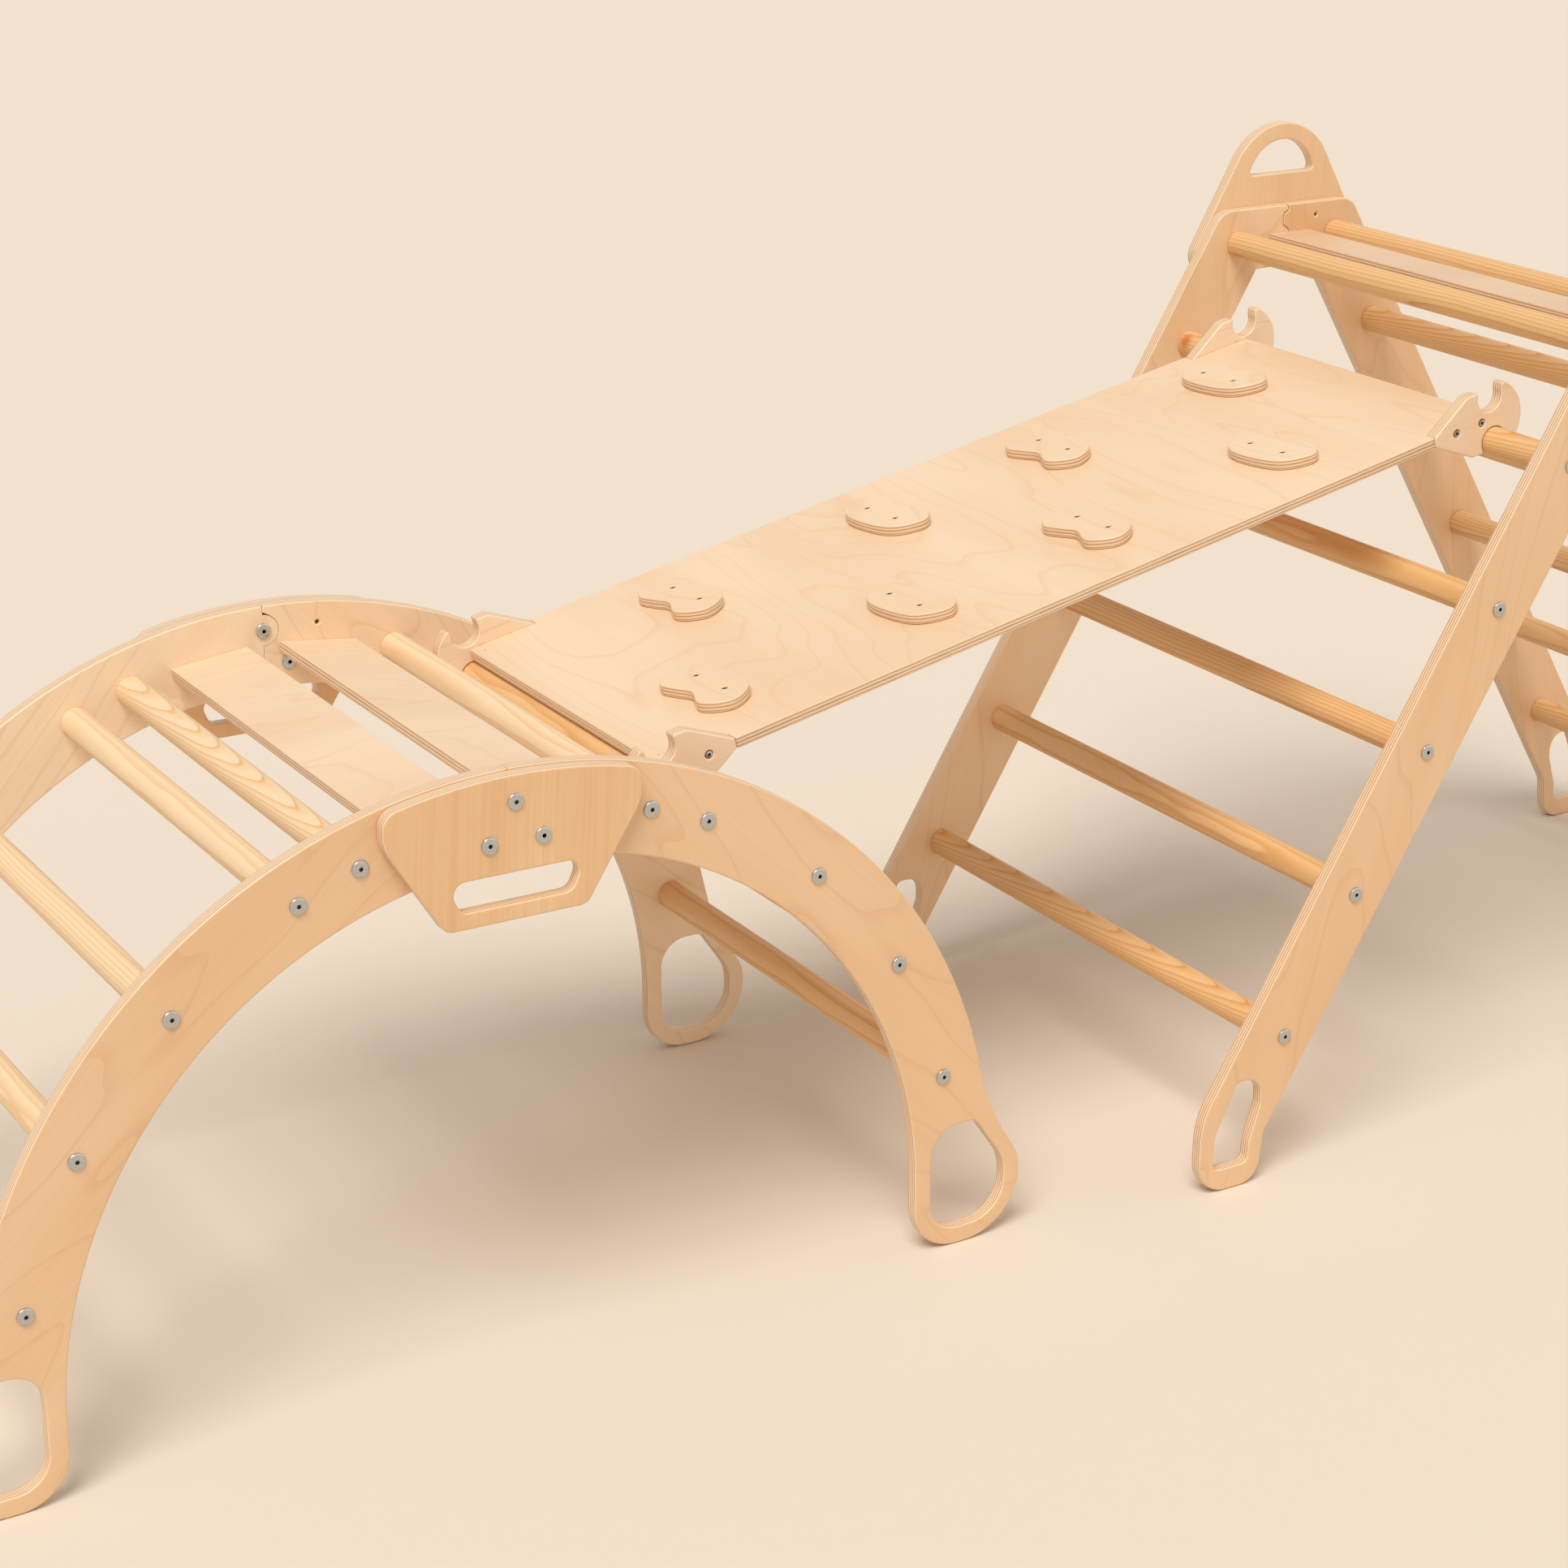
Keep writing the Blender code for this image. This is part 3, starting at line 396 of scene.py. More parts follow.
        # The plies wave a little, every 26 mm.
        wander = stretched_noise(tree, local, (38.0, 38.0, 38.0), 2.0)
        shift = add_node(tree, "MapRange", {
            "Value": wander, "From Min": 0.3, "From Max": 0.7, "To Min": -self.wave, "To Max": self.wave,
        }).outputs["Result"]
        waved = add_node(tree, "Math", {0: depth, 1: shift}, operation="ADD").outputs[0]
        turns = add_node(tree, "Math", {0: waved, 1: self.ply_width * 2.0}, operation="DIVIDE").outputs[0]
        phase = add_node(tree, "Math", {0: turns}, operation="FRACT").outputs[0]
        stripes = set_ramp(add_node(tree, "ValToRGB", {"Fac": phase}), [
            (0.0, self.ply_pale), (0.48, self.ply_pale), (0.58, self.glue),
            (0.66, self.ply_dark), (0.82, self.ply_dark), (0.92, self.ply_pale), (1.0, self.ply_pale),
        ])
        # Torn fibres 2.2 mm wide stand in patches of 45 mm.
        pores = stretched_noise(tree, local, (450.0, 450.0, 450.0), 2.0, 0.65)
        patches = stretched_noise(tree, local, (22.0, 22.0, 22.0), 1.0)
        grit = add_node(tree, "Math", {0: pores, 1: patches}, operation="MULTIPLY").outputs[0]
        edge = tinted(tree, stripes, grit, (0.15, 0.4), 0.2, self.ply_pale)
        below = add_node(tree, "MapRange", {
            "Value": depth, "From Min": self.ply_width * 0.25, "From Max": self.ply_width * 0.5,
        }).outputs["Result"]
        whole = add_node(tree, "Mix", {"Factor": below, "A": face, "B": edge}, data_type="RGBA")
        return whole.outputs["Result"]


class PineCut(Enum):
    """How a dowel lay in its log.

    Each holds the log's heart from the dowel's axis in x and z, the taper and the ring width.
    """

    STRAIGHT = (0.11, -0.05, 0.006, 0.0066)
    FINE = (-0.07, -0.06, 0.008, 0.0046)
    ARCHED = (0.006, -0.03, 0.046, 0.0028)


class PineTone(Enum):
    """How orange a dowel's wood is.

    Each holds the early wood, the middle of a ring, and the late wood by the name of the cut. The warm tone
    is partly the pine's own orange and partly painted shade, for rungs in shade and where the light falls
    off.
    """

    PALE = ("F2D8B3", "EDCBA0", {"STRAIGHT": "E9C292", "FINE": "E6BB86", "ARCHED": "E3AA66"})
    # Partly the pine's own orange and partly painted shade.
    WARM_AND_PAINTED_SHADE = ("E8BF8B", "E0AF74", {"STRAIGHT": "D9A468", "FINE": "CB965F", "ARCHED": "D6934C"})


@dataclass(frozen=True)
class PineDowel:
    """Turned pine, sanded and varnished.

    Growth rings give the eye lines along a dowel that was cut with the log and nested orange arches
    along one that was cut at a slant, on a straw-coloured ground. Real rings of 1 to 3 mm are too fine
    to show from 3.7 m, so they are drawn 2.8 to 6.6 mm wide.
    """

    name: str
    centre: Point
    cut: PineCut
    tone: PineTone
    knot_y: float | None = None
    knot: str = "C26F30"
    knot_core: float = 0.004
    knot_rim: float = 0.013
    roughness: float = 0.5

    def build(self) -> Material:
        """Builds the material.

        Returns:
            The finished material.
        """
        made, shader = new_material(self.name, Roughness=self.roughness, IOR=1.5)
        tree = made.node_tree
        early, middle, lates = self.tone.value
        place = add_node(tree, "TexCoord").outputs["Object"]
        colour = set_ramp(add_node(tree, "ValToRGB", {"Fac": self.ring_phase(tree, place)}), [
            (0.0, early), (0.4, early), (0.78, middle), (0.93, lates[self.cut.name]), (1.0, early),
        ])
        # Fibres are 1.4 mm wide and 45 mm long.
        fibre = stretched_noise(tree, place, (700.0, 22.0, 700.0), 2.0, 0.6)
        colour = tinted(tree, colour, fibre, (0.4, 0.75), 0.35, middle)
        if self.knot_y is not None:
            spot = (self.centre[0] - RUNG_RADIUS * 0.7, self.knot_y, self.centre[1] + RUNG_RADIUS * 0.4)
            away = add_node(tree, "VectorMath", {0: place, 1: spot}, operation="DISTANCE").outputs["Value"]
            colour = tinted(tree, colour, away, (self.knot_rim, self.knot_core), 0.9, self.knot)
        tree.links.new(colour, shader.inputs["Base Color"])
        add_relief(tree, shader, fibre, 0.1, 0.0005)
        return made

    def ring_phase(self, tree: Tree, place: Socket) -> Socket:
        """Works out how far through its growth ring a point lies.

        Args:
            tree: The material's tree.
            place: The point in metres.

        Returns:
            The share, from 0 to 1.
        """
        heart_x, heart_z, taper, width = self.cut.value
        heart = (-self.centre[0] - heart_x, 0.0, -self.centre[1] - heart_z)
        centred = add_node(tree, "Mapping", {"Location": heart, "Vector": place}, vector_type="POINT")
        local = centred.outputs["Vector"]
        flat = add_node(tree, "VectorMath", {0: local, 1: (1.0, 0.0, 1.0)}, operation="MULTIPLY").outputs[0]
        radius = add_node(tree, "VectorMath", {0: flat}, operation="LENGTH").outputs["Value"]
        split = add_node(tree, "SeparateXYZ", {0: local})
        climb = add_node(tree, "Math", {0: split.outputs["Y"], 1: taper}, operation="MULTIPLY").outputs[0]
        # Rings wander over 45 mm across and 220 mm along, and each dowel starts at its own point of a ring.
        wander = stretched_noise(tree, place, (22.0, 4.5, 22.0), 2.0, 0.45)
        start = width * ((self.centre[0] * 13.7 + self.centre[1] * 7.9) % 1.0)
        push = add_node(
            tree, "MapRange", {"Value": wander, "To Min": start - width, "To Max": start + width},
        ).outputs["Result"]
        reach = add_node(tree, "Math", {0: radius, 1: climb}, operation="ADD").outputs[0]
        total = add_node(tree, "Math", {0: reach, 1: push}, operation="ADD").outputs[0]
        rings = add_node(tree, "Math", {0: total, 1: width}, operation="DIVIDE").outputs[0]
        return add_node(tree, "Math", {0: rings}, operation="FRACT").outputs[0]


@dataclass(frozen=True)
class ZincSteel:
    """Zinc-plated steel of bolts and screws, bright from the plating barrel.

    The plating gives the eye a cool grey metal with a soft shine and a slight mottle 0.7 mm wide. Yellow
    zinc is the same with a brassy tone, and the steel deep in a recess is painted darker and duller, as
    painted shade.
    """

    name: str = "zinc_plated_steel"
    bright: str = "C9CBCC"
    dull: str = "B8B9BA"
    roughness: float = 0.24

    def build(self) -> Material:
        """Builds the material.

        Returns:
            The finished material.
        """
        made, shader = new_material(self.name, Metallic=1.0)
        tree = made.node_tree
        place = add_node(tree, "TexCoord").outputs["Object"]
        mottle = stretched_noise(tree, place, (1400.0, 1400.0, 1400.0), 2.0, 0.6)
        ramp = add_node(tree, "ValToRGB", {"Fac": mottle})
        colour = set_ramp(ramp, [(0.35, self.dull), (0.65, self.bright)])
        tree.links.new(colour, shader.inputs["Base Color"])
        rough = add_node(tree, "MapRange", {
            "Value": mottle, "To Min": self.roughness - 0.04, "To Max": self.roughness + 0.05,
        }).outputs["Result"]
        tree.links.new(rough, shader.inputs["Roughness"])
        return made


@dataclass(frozen=True)
class StudioPaper:
    """The pale paper that the set stands on, matt and even."""

    name: str = "studio_paper"
    colour: str = "E6DCCF"
    roughness: float = 0.9

    def build(self) -> Material:
        """Builds the material.

        Returns:
            The finished material.
        """
        made, shader = new_material(self.name, Roughness=self.roughness)
        shader.inputs["Base Color"].default_value = linear(self.colour)
        return made


@dataclass(frozen=True)
class Finishes:
    """The metals that several sub-assemblies share: bright steel, its recesses painted dark as painted shade,
    and screws.
    """

    bright: Material
    recess: Material
    screw: Material

    @property
    def bolt(self) -> list[Material]:
        """The slots of a bolt: its faces, then its recess."""
        return [self.bright, self.recess]


def arc(centre: Point, radius: float, start_deg: float, end_deg: float, step_deg: float = 3.0) -> list[Point]:
    """Points along an arc, both ends included.

    Args:
        centre: The arc's centre.
        radius: Its radius.
        start_deg: The angle where it starts.
        end_deg: The angle where it ends.
        step_deg: The widest step between two points.

    Returns:
        The points in order.
    """
    steps = max(1, math.ceil(abs(end_deg - start_deg) / step_deg))
    points = []
    for i in range(steps + 1):
        angle = math.radians(start_deg + (end_deg - start_deg) * i / steps)
        points.append((centre[0] + radius * math.cos(angle), centre[1] + radius * math.sin(angle)))
    return points


def round_hole(centre: Point, radius: float, step_deg: float) -> list[Point]:
    """A round hole's outline."""
    return arc(centre, radius, 0.0, 360.0, step_deg)[:-1]


def direction(start: Sequence[float], end: Sequence[float]) -> float:
    """The angle in degrees of the line from one point to another."""
    return math.degrees(math.atan2(end[1] - start[1], end[0] - start[0]))


def other_side(points: Iterable[Sequence[float]]) -> list[tuple[float, ...]]:
    """The points or corners mirrored left to right, in the same order."""
    return [(-point[0], *point[1:]) for point in points]


def mirrored(points: Sequence[Sequence[float]]) -> list[tuple[float, ...]]:
    """The points mirrored left to right in the reverse order, so that an outline carries on round."""
    return other_side(reversed(points))


def shifted(points: Iterable[Point], dx: float) -> list[Point]:
    """The points moved along x."""
    return [(x + dx, z) for x, z in points]


def rounded(corners: Sequence[Sequence[float]], step_deg: float = 9.0) -> list[Point]:
    """Rounds the corners of an outline.

    Args:
        corners: Corners as (x, z), kept sharp, or (x, z, radius).
        step_deg: The widest step of an arc.

    Returns:
        The outline's points.
    """
    points: list[Point] = []
    count = len(corners)
    for i, corner in enumerate(corners):
        if len(corner) == 2:
            points.append((corner[0], corner[1]))
            continue
        here = Vector(corner[:2])
        to_last = (Vector(corners[i - 1][:2]) - here).normalized()
        to_next = (Vector(corners[(i + 1) % count][:2]) - here).normalized()
        half = to_last.angle(to_next) / 2.0
        centre = here + (to_last + to_next).normalized() * corner[2] / math.sin(half)
        start = here + to_last * corner[2] / math.tan(half) - centre
        end = here + to_next * corner[2] / math.tan(half) - centre
        start_deg = direction((0.0, 0.0), start)
        turn = (direction((0.0, 0.0), end) - start_deg + 180.0) % 360.0 - 180.0
        points += arc((centre.x, centre.y), corner[2], start_deg, start_deg + turn, step_deg)
    return points


def smooth_loop(points: Sequence[Point], steps: int) -> list[Point]:
    """A closed Catmull-Rom curve.

    Args:
        points: The points that it passes through.
        steps: Steps between two of them.

    Returns:
        The curve's points.
    """
    count = len(points)
    curve: list[Point] = []
    for i in range(count):
        a, b, c, d = (Vector(points[(i + k) % count]) for k in (-1, 0, 1, 2))
        for step in range(steps):
            u = step / steps
            spot = b + (c - a) * u / 2.0
            spot += (a - b * 2.5 + c * 2.0 - d / 2.0) * u ** 2
            spot += (b * 1.5 - a / 2.0 - c * 1.5 + d / 2.0) * u ** 3
            curve.append((spot.x, spot.y))
    return curve


def moved_apart(points: Sequence[Point], distance: float) -> list[Point]:
    """An open line moved to the left of its direction.

    Args:
        points: The line's points.
        distance: How far it moves.

    Returns:
        The moved points.
    """
    moved = []
    for i, (x, z) in enumerate(points):
        ahead = Vector(points[min(i + 1, len(points) - 1)])
        along = (ahead - Vector(points[max(i - 1, 0)])).normalized()
        moved.append((x - along.y * distance, z + along.x * distance))
    return moved


def add_loop(mesh: Mesh, points: Sequence[Point]) -> list[bmesh.types.BMEdge]:
    """Adds a closed ring of edges at y = 0.

    Args:
        mesh: The mesh that gets it.
        points: The ring's points in x and z.

    Returns:
        The ring's edges.
    """
    verts = [mesh.verts.new((x, 0.0, z)) for x, z in points]
    return [mesh.edges.new((verts[i - 1], vert)) for i, vert in enumerate(verts)]


def keep_crisp(mesh: Mesh, points: Sequence[Point], reach: float, round_over: float) -> None:
    """Takes back most of the rounding along a stretch of a half sheet's outline, as at a seam.

    Args:
        mesh: The upper half of the sheet.
        points: The stretch's points in x and z.
        reach: Half the sheet's thickness.
        round_over: The radius that it was rounded with.
    """
    corners = KDTree(len(points))
    for i, (x, z) in enumerate(points):
        corners.insert((x, 0.0, z), i)
    corners.balance()
    lowest = reach - round_over * 1.01
    nearest = round_over * 1.1
    for vert in mesh.verts:
        flat = Vector((vert.co.x, 0.0, vert.co.z))
        corner, _, away = corners.find(flat)
        if vert.co.y > lowest and away < nearest:
            flat = corner + (flat - corner) * SEAM_ROUNDING
            vert.co = (flat.x, reach - (reach - vert.co.y) * SEAM_ROUNDING, flat.z)


def sheet_mesh(
    outline: Sequence[Point], holes: Sequence[Sequence[Point]], layer: Point, round_over: float,
    crisp: Sequence[Point] = (),
) -> Mesh:
    """Cuts a sheet and rounds its edges over with a router.

    Args:
        outline: The sheet's outline in x and z.
        holes: Outlines of its through holes.
        layer: The y of its lower and upper face.
        round_over: The router bit's radius.
        crisp: Points of the outline that the router leaves nearly square, as at a seam.

    Returns:
        The closed mesh.
    """
    low, high = layer
    mesh = bmesh.new()
    edges = []
    for points in [outline, *holes]:
        edges += add_loop(mesh, points)
    filled = bmesh.ops.triangle_fill(mesh, edges=edges, use_beauty=True, use_dissolve=False, normal=(0, 1, 0))
    caps = [item for item in filled["geom"] if isinstance(item, bmesh.types.BMFace)]
    bmesh.ops.recalc_face_normals(mesh, faces=caps)
    if sum(face.normal.y * face.calc_area() for face in caps) < 0.0:
        bmesh.ops.reverse_faces(mesh, faces=caps)
    reach = (high - low) / 2.0
    bmesh.ops.translate(mesh, verts=mesh.verts, vec=(0.0, reach - round_over, 0.0))
    rims = [edge for edge in mesh.edges if edge.is_boundary]
    wall = bmesh.ops.extrude_edge_only(mesh, edges=rims)
    lower = [item for item in wall["geom"] if isinstance(item, bmesh.types.BMVert)]
    bmesh.ops.translate(mesh, verts=lower, vec=(0.0, round_over - reach, 0.0))
    steps = 3
    for i in range(steps):
        angle = math.pi / 2.0 * i / steps
        ahead = math.pi / 2.0 * (i + 1) / steps
        bmesh.ops.inset_region(
            mesh, faces=caps, use_boundary=False, use_even_offset=True,
            thickness=round_over * (math.cos(angle) - math.cos(ahead)),
            depth=round_over * (math.sin(ahead) - math.sin(angle)),
        )
    if crisp:
        keep_crisp(mesh, crisp, reach, round_over)
    everything = mesh.verts[:] + mesh.edges[:] + mesh.faces[:]
    bmesh.ops.mirror(mesh, geom=everything, matrix=Matrix.Identity(4), merge_dist=WELD, axis="Y")
    bmesh.ops.remove_doubles(mesh, verts=mesh.verts, dist=WELD)
    bmesh.ops.translate(mesh, verts=mesh.verts, vec=(0.0, (low + high) / 2.0, 0.0))
    return mesh


def add_turned(mesh: Mesh, profile: Sequence[Point], centre: Point, steps: int, slot: int) -> None:
    """Turns a profile round a line along y and adds the body to a mesh.

    Args:
        mesh: The mesh that gets it.
        profile: (y, radius) from one end to the other, with radius 0 at both.
        centre: The line's x and z.
        steps: Sides of the turned body.
        slot: The material slot of its faces.
    """
    axis = Vector((centre[0], 0.0, centre[1]))
    before = set(mesh.faces)
    verts = [mesh.verts.new(axis + Vector((radius, y, 0.0))) for y, radius in profile]
    edges = [mesh.edges.new(pair) for pair in zip(verts, verts[1:])]
    bmesh.ops.spin(
        mesh, geom=verts + edges, cent=axis, axis=(0.0, 1.0, 0.0), angle=math.tau, steps=steps,
        use_merge=True,
    )
    made = [face for face in mesh.faces if face not in before]
    touched = list({vert for face in made for vert in face.verts})
    bmesh.ops.remove_doubles(mesh, verts=touched, dist=WELD)
    for face in mesh.faces:
        if face not in before:
            face.material_index = slot


def add_shank(mesh: Mesh, centre: Point, start: float, end: float, steps: int, slot: int) -> None:
    """Adds a bolt's shank.

    Args:
        mesh: The mesh that gets it.
        centre: Its x and z.
        start: The y of one end.
        end: The y of the other.
        steps: Its sides.
        slot: The material slot of its faces.
    """
    profile = [(start, 0.0), (start, SHANK_RADIUS), (end, SHANK_RADIUS), (end, 0.0)]
    add_turned(mesh, profile, centre, steps, slot)


def joined(mesh: Mesh, other: Mesh, slot: int, recess: Iterable[bmesh.types.BMFace]) -> None:
    """Adds one mesh to another and frees it.

    Args:
        mesh: The mesh that grows.
        other: The mesh that is added.
        slot: The material slot of the added faces.
        recess: The faces that get the next slot.
    """
    for face in other.faces:
        face.material_index = slot
    for face in recess:
        face.material_index = slot + 1
    data = bpy.data.meshes.new("joined")
    other.to_mesh(data)
    other.free()
    mesh.from_mesh(data)
    bpy.data.meshes.remove(data)


def socket_turn(centre: Point, sign: int, spread: Point) -> float:
    """How far a bolt's socket happens to be turned, worked out from its place, in radians."""
    return math.sin(centre[0] * spread[0] + centre[1] * spread[1] + sign) * math.pi


def add_bolt_head(mesh: Mesh, centre: Point, seat: float, sign: int, slot: int, turn: float) -> None:
    """Adds a flat bolt head with a rounded rim and a 4 mm hexagon socket.

    Args:
        mesh: The mesh that gets it.
        centre: The head's x and z.
        seat: The y of the face that it lies on.
        sign: 1 where the head looks along +y, -1 along -y.
        slot: The material slot of its faces, with the socket's in the next.
        turn: How far the socket is turned, in radians.
    """
    side_height = 0.0015
    inward_and_up = (
        (0.0003, 0.0004), (0.0006, 0.0003), (0.0007, 0.0002), (0.0030, 0.0001), (0.0002, -0.0002),
    )
    half_across_flats = 0.002
    socket_depth = 0.0021
    head = bmesh.new()
    bmesh.ops.create_circle(head, cap_ends=True, segments=HEAD_SIDES, radius=HEAD_RADIUS)
    face = bmesh.ops.extrude_discrete_faces(head, faces=head.faces[:])["faces"][0]
    bmesh.ops.translate(head, verts=face.verts, vec=(0.0, 0.0, side_height))
    for inward, up in inward_and_up:
        bmesh.ops.inset_region(head, faces=[face], thickness=inward, depth=up, use_even_offset=True)
    for vert in face.verts:
        angle = math.atan2(vert.co.y, vert.co.x)
        reach = half_across_flats / math.cos((angle % (math.pi / 3.0)) - math.pi / 6.0)
        vert.co.x = reach * math.cos(angle)
        vert.co.y = reach * math.sin(angle)
    socket = bmesh.ops.extrude_discrete_faces(head, faces=[face])["faces"][0]
    bmesh.ops.translate(head, verts=socket.verts, vec=(0.0, 0.0, -socket_depth))
    bmesh.ops.holes_fill(head, edges=[edge for edge in head.edges if edge.is_boundary])
    for angle, axis in ((turn, "Z"), (-math.pi / 2.0 * sign, "X")):
        bmesh.ops.rotate(head, verts=head.verts, cent=(0, 0, 0), matrix=Matrix.Rotation(angle, 3, axis))
    bmesh.ops.translate(head, verts=head.verts, vec=(centre[0], seat, centre[1]))
    # The socket's faces get the next slot, whose steel is painted darker as painted shade.
    joined(mesh, head, slot, {face for vert in socket.verts for face in vert.link_faces})


def add_through_bolt(
    mesh: Mesh, centre: Point, half_width: float, side: Side, seat: float | None, slot: int,
) -> None:
    """Adds a bolt through a panel: a head inside, the shank and, where it has a seat, a head outside.

    Args:
        mesh: The mesh that gets it.
        centre: The bolt's x and z.
        half_width: The y of the panel's outer face.
        side: The side of the set.
        seat: The y of the face under the outer head, or None where there is no such head.
        slot: The material slot of its faces.
    """
    sign = side.value
    inner = half_width - PLY - GAP
    end = half_width - GAP if seat is None else seat + SHANK_SINK
    add_shank(mesh, centre, sign * (inner - SHANK_SINK), sign * end, BOLT_SIDES, slot)
    turn = socket_turn(centre, sign, (83.0, 47.0))
    add_bolt_head(mesh, centre, sign * inner, -sign, slot, turn)
    if seat is not None:
        add_bolt_head(mesh, centre, sign * seat, sign, slot, turn + 0.4)


def add_screw(mesh: Mesh, centre: Point, seat: float, sign: int, radius: float, slot: int) -> None:
    """Adds a countersunk screw with a low domed head and a round recess in it.

    Args:
        mesh: The mesh that gets it.
        centre: The head's x and z.
        seat: The y of the face round it.
        sign: 1 where it looks along +y, -1 along -y.
        radius: The head's radius.
        slot: The material slot of its faces, with the recess's in the next.
    """
    heights_and_shares = (
        (-0.002, 0.0), (-0.002, 0.5), (-0.0001, 1.0), (0.0002, 0.85), (0.0003, 0.5),
        (-0.0008, 0.4), (-0.0011, 0.0),
    )
    recess_radius = radius * 0.47
    recess_floor = -0.0015
    screw = bmesh.new()
    profile = [(seat + sign * up, radius * share) for up, share in heights_and_shares]
    add_turned(screw, profile, centre, BOLT_SIDES, 0)
    # The faces in the head's recess get the next slot, whose steel is painted darker as painted shade.
    recess = []
    for face in screw.faces:
        middle = face.calc_center_median()
        away = math.dist((middle.x, middle.z), centre)
        if away < recess_radius and sign * (middle.y - seat) > recess_floor:
            recess.append(face)
    joined(mesh, screw, slot, recess)


def make_piece(node: str, mesh: Mesh, finishes: Iterable[Material], body: str) -> None:
    """Turns a mesh into a piece that rides on a body and stands for one CAD node.

    Args:
        node: The CAD node that it replaces.
        mesh: Its mesh, which is freed.
        finishes: Its material slots in order.
        body: The body that it rides on.
    """
    bmesh.ops.recalc_face_normals(mesh, faces=mesh.faces)
    if mesh.calc_volume(signed=True) < 0.0:
        bmesh.ops.reverse_faces(mesh, faces=mesh.faces)
    for edge in mesh.edges:
        if edge.is_manifold:
            edge.smooth = edge.calc_face_angle(0.0) < math.radians(SHARP_DEG)
    for face in mesh.faces:
        face.smooth = True
    name = f"{node}_dressed"
    data = bpy.data.meshes.new(name)
    mesh.to_mesh(data)
    mesh.free()
    for finish in finishes:
        data.materials.append(finish)
    piece = bpy.data.objects.new(name, data)
    bpy.context.scene.collection.objects.link(piece)
    weighted = piece.modifiers.new("even_shading", "WEIGHTED_NORMAL")
    weighted.keep_sharp = True
    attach(piece, body)
    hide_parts(node)
    LOG.info("%s: %d faces on %s", name, len(data.polygons), body)


@dataclass
class Rung:
    """A pine rung between two panels, with its bolt shanks and, on most rungs, bolt heads."""

    node: str
    centre: Point
    half_width: float
    has_heads: bool
    body: str
    wood: PineDowel
    finishes: Finishes
    ease: float = 0.0008
    shank_start: float = 0.002

    def build(self) -> None:
        """Builds the rung."""
        mesh = bmesh.new()
        end = self.half_width - PLY - GAP
        ends = [(end - self.ease, RUNG_RADIUS), (end, RUNG_RADIUS - self.ease), (end, 0.0)]
        add_turned(mesh, mirrored(ends) + ends, self.centre, RUNG_SIDES, 0)
        tip = self.half_width + (GAP if self.has_heads else -GAP)
        for side in Side:
            sign = side.value
            add_shank(mesh, self.centre, sign * (end - self.shank_start), sign * tip, SHANK_SIDES, 1)
            if self.has_heads:
                turn = socket_turn(self.centre, sign, (97.0, 61.0))
                add_bolt_head(mesh, self.centre, sign * tip, sign, 1, turn)
        make_piece(self.node, mesh, [self.wood.build(), *self.finishes.bolt], self.body)


@dataclass
class Slat:
    """A plywood slat between two panels, placed by the middle of its top face."""

    node: str
    top: Point
    lean_deg: float
    width: float
    half_width: float
    body: str
    tones: dict[str, str]
    round_over: float = 0.0012

    def build(self) -> None:
        """Builds the slat."""
        lean = math.radians(self.lean_deg)
        along = Vector((math.cos(lean), 0.0, math.sin(lean)))
        up = Vector((-along.z, 0.0, along.x))
        middle = Vector((self.top[0], 0.0, self.top[1])) - up * THIN_PLY / 2.0
        reach = self.half_width - PLY - GAP
        half = self.width / 2.0
        corners = [(-half, -reach), (half, -reach), (half, reach), (-half, reach)]
        mesh = sheet_mesh(corners, [], (-THIN_PLY / 2.0, THIN_PLY / 2.0), self.round_over)
        place = Matrix((along, up, Vector((0.0, 1.0, 0.0)))).transposed()
        bmesh.ops.transform(mesh, verts=mesh.verts, matrix=Matrix.Translation(middle) @ place.to_4x4())
        finish = BirchPlywood(
            f"birch_{self.node}", SheetFrame(tuple(middle), tuple(along), tuple(up)), 0.0, THIN_PLY,
            streak="D9A878", **self.tones,
        ).build()
        make_piece(self.node, mesh, [finish], self.body)


@dataclass
class Joint:
    """What joins two halves: a handle plate with its bolts, and a pivot pin, on each side.

    Outlines, pivot and lock are measured from the middle of the two halves. The lock's turn is how far
    its head's socket is turned, in radians.
    """

    prefix: str
    middle_x: float
    half_width: float
    outline: list[Point]
    grip: list[Point]
    pivot: Point
    lock: Point
    lock_turn: float
    round_over: float
    body: str
    finishes: Finishes

    def place(self, point: Point) -> Point:
        """Where a point measured from the middle lies in the set."""
        return (self.middle_x + point[0], point[1])

    @property
    def seat(self) -> float:
        """The y of the plates' outer face."""
        return self.half_width + GAP + PLY

    @property
    def middle_depth(self) -> float:
        """The y of the plates' middle plane."""
        return self.seat - PLY / 2.0

    def build(self, side: Side, wood: Material) -> None:
        """Builds one plate and its pin.

        Args:
            side: The side of the set.
            wood: The plate's finish.
        """
        outline = shifted(self.outline, self.middle_x)
        grip = shifted(self.grip, self.middle_x)
        plate = sheet_mesh(outline, [grip], side.layer(self.seat), self.round_over)
        fixing = self.place((PIVOT_OFFSET, self.pivot[1]))
        add_through_bolt(plate, fixing, self.half_width, side, self.seat, 1)
        head_y = side.value * self.seat
        add_bolt_head(plate, self.place(self.lock), head_y, side.value, 1, self.lock_turn)
        node = f"{self.prefix}_plate_{side.label}"
        make_piece(node, plate, [wood, *self.finishes.bolt], self.body)
        pin = bmesh.new()
        add_through_bolt(pin, self.place(self.pivot), self.half_width, side, self.seat + GAP, 0)
        make_piece(f"{self.prefix}_pivot_{side.label}", pin, self.finishes.bolt, self.body)


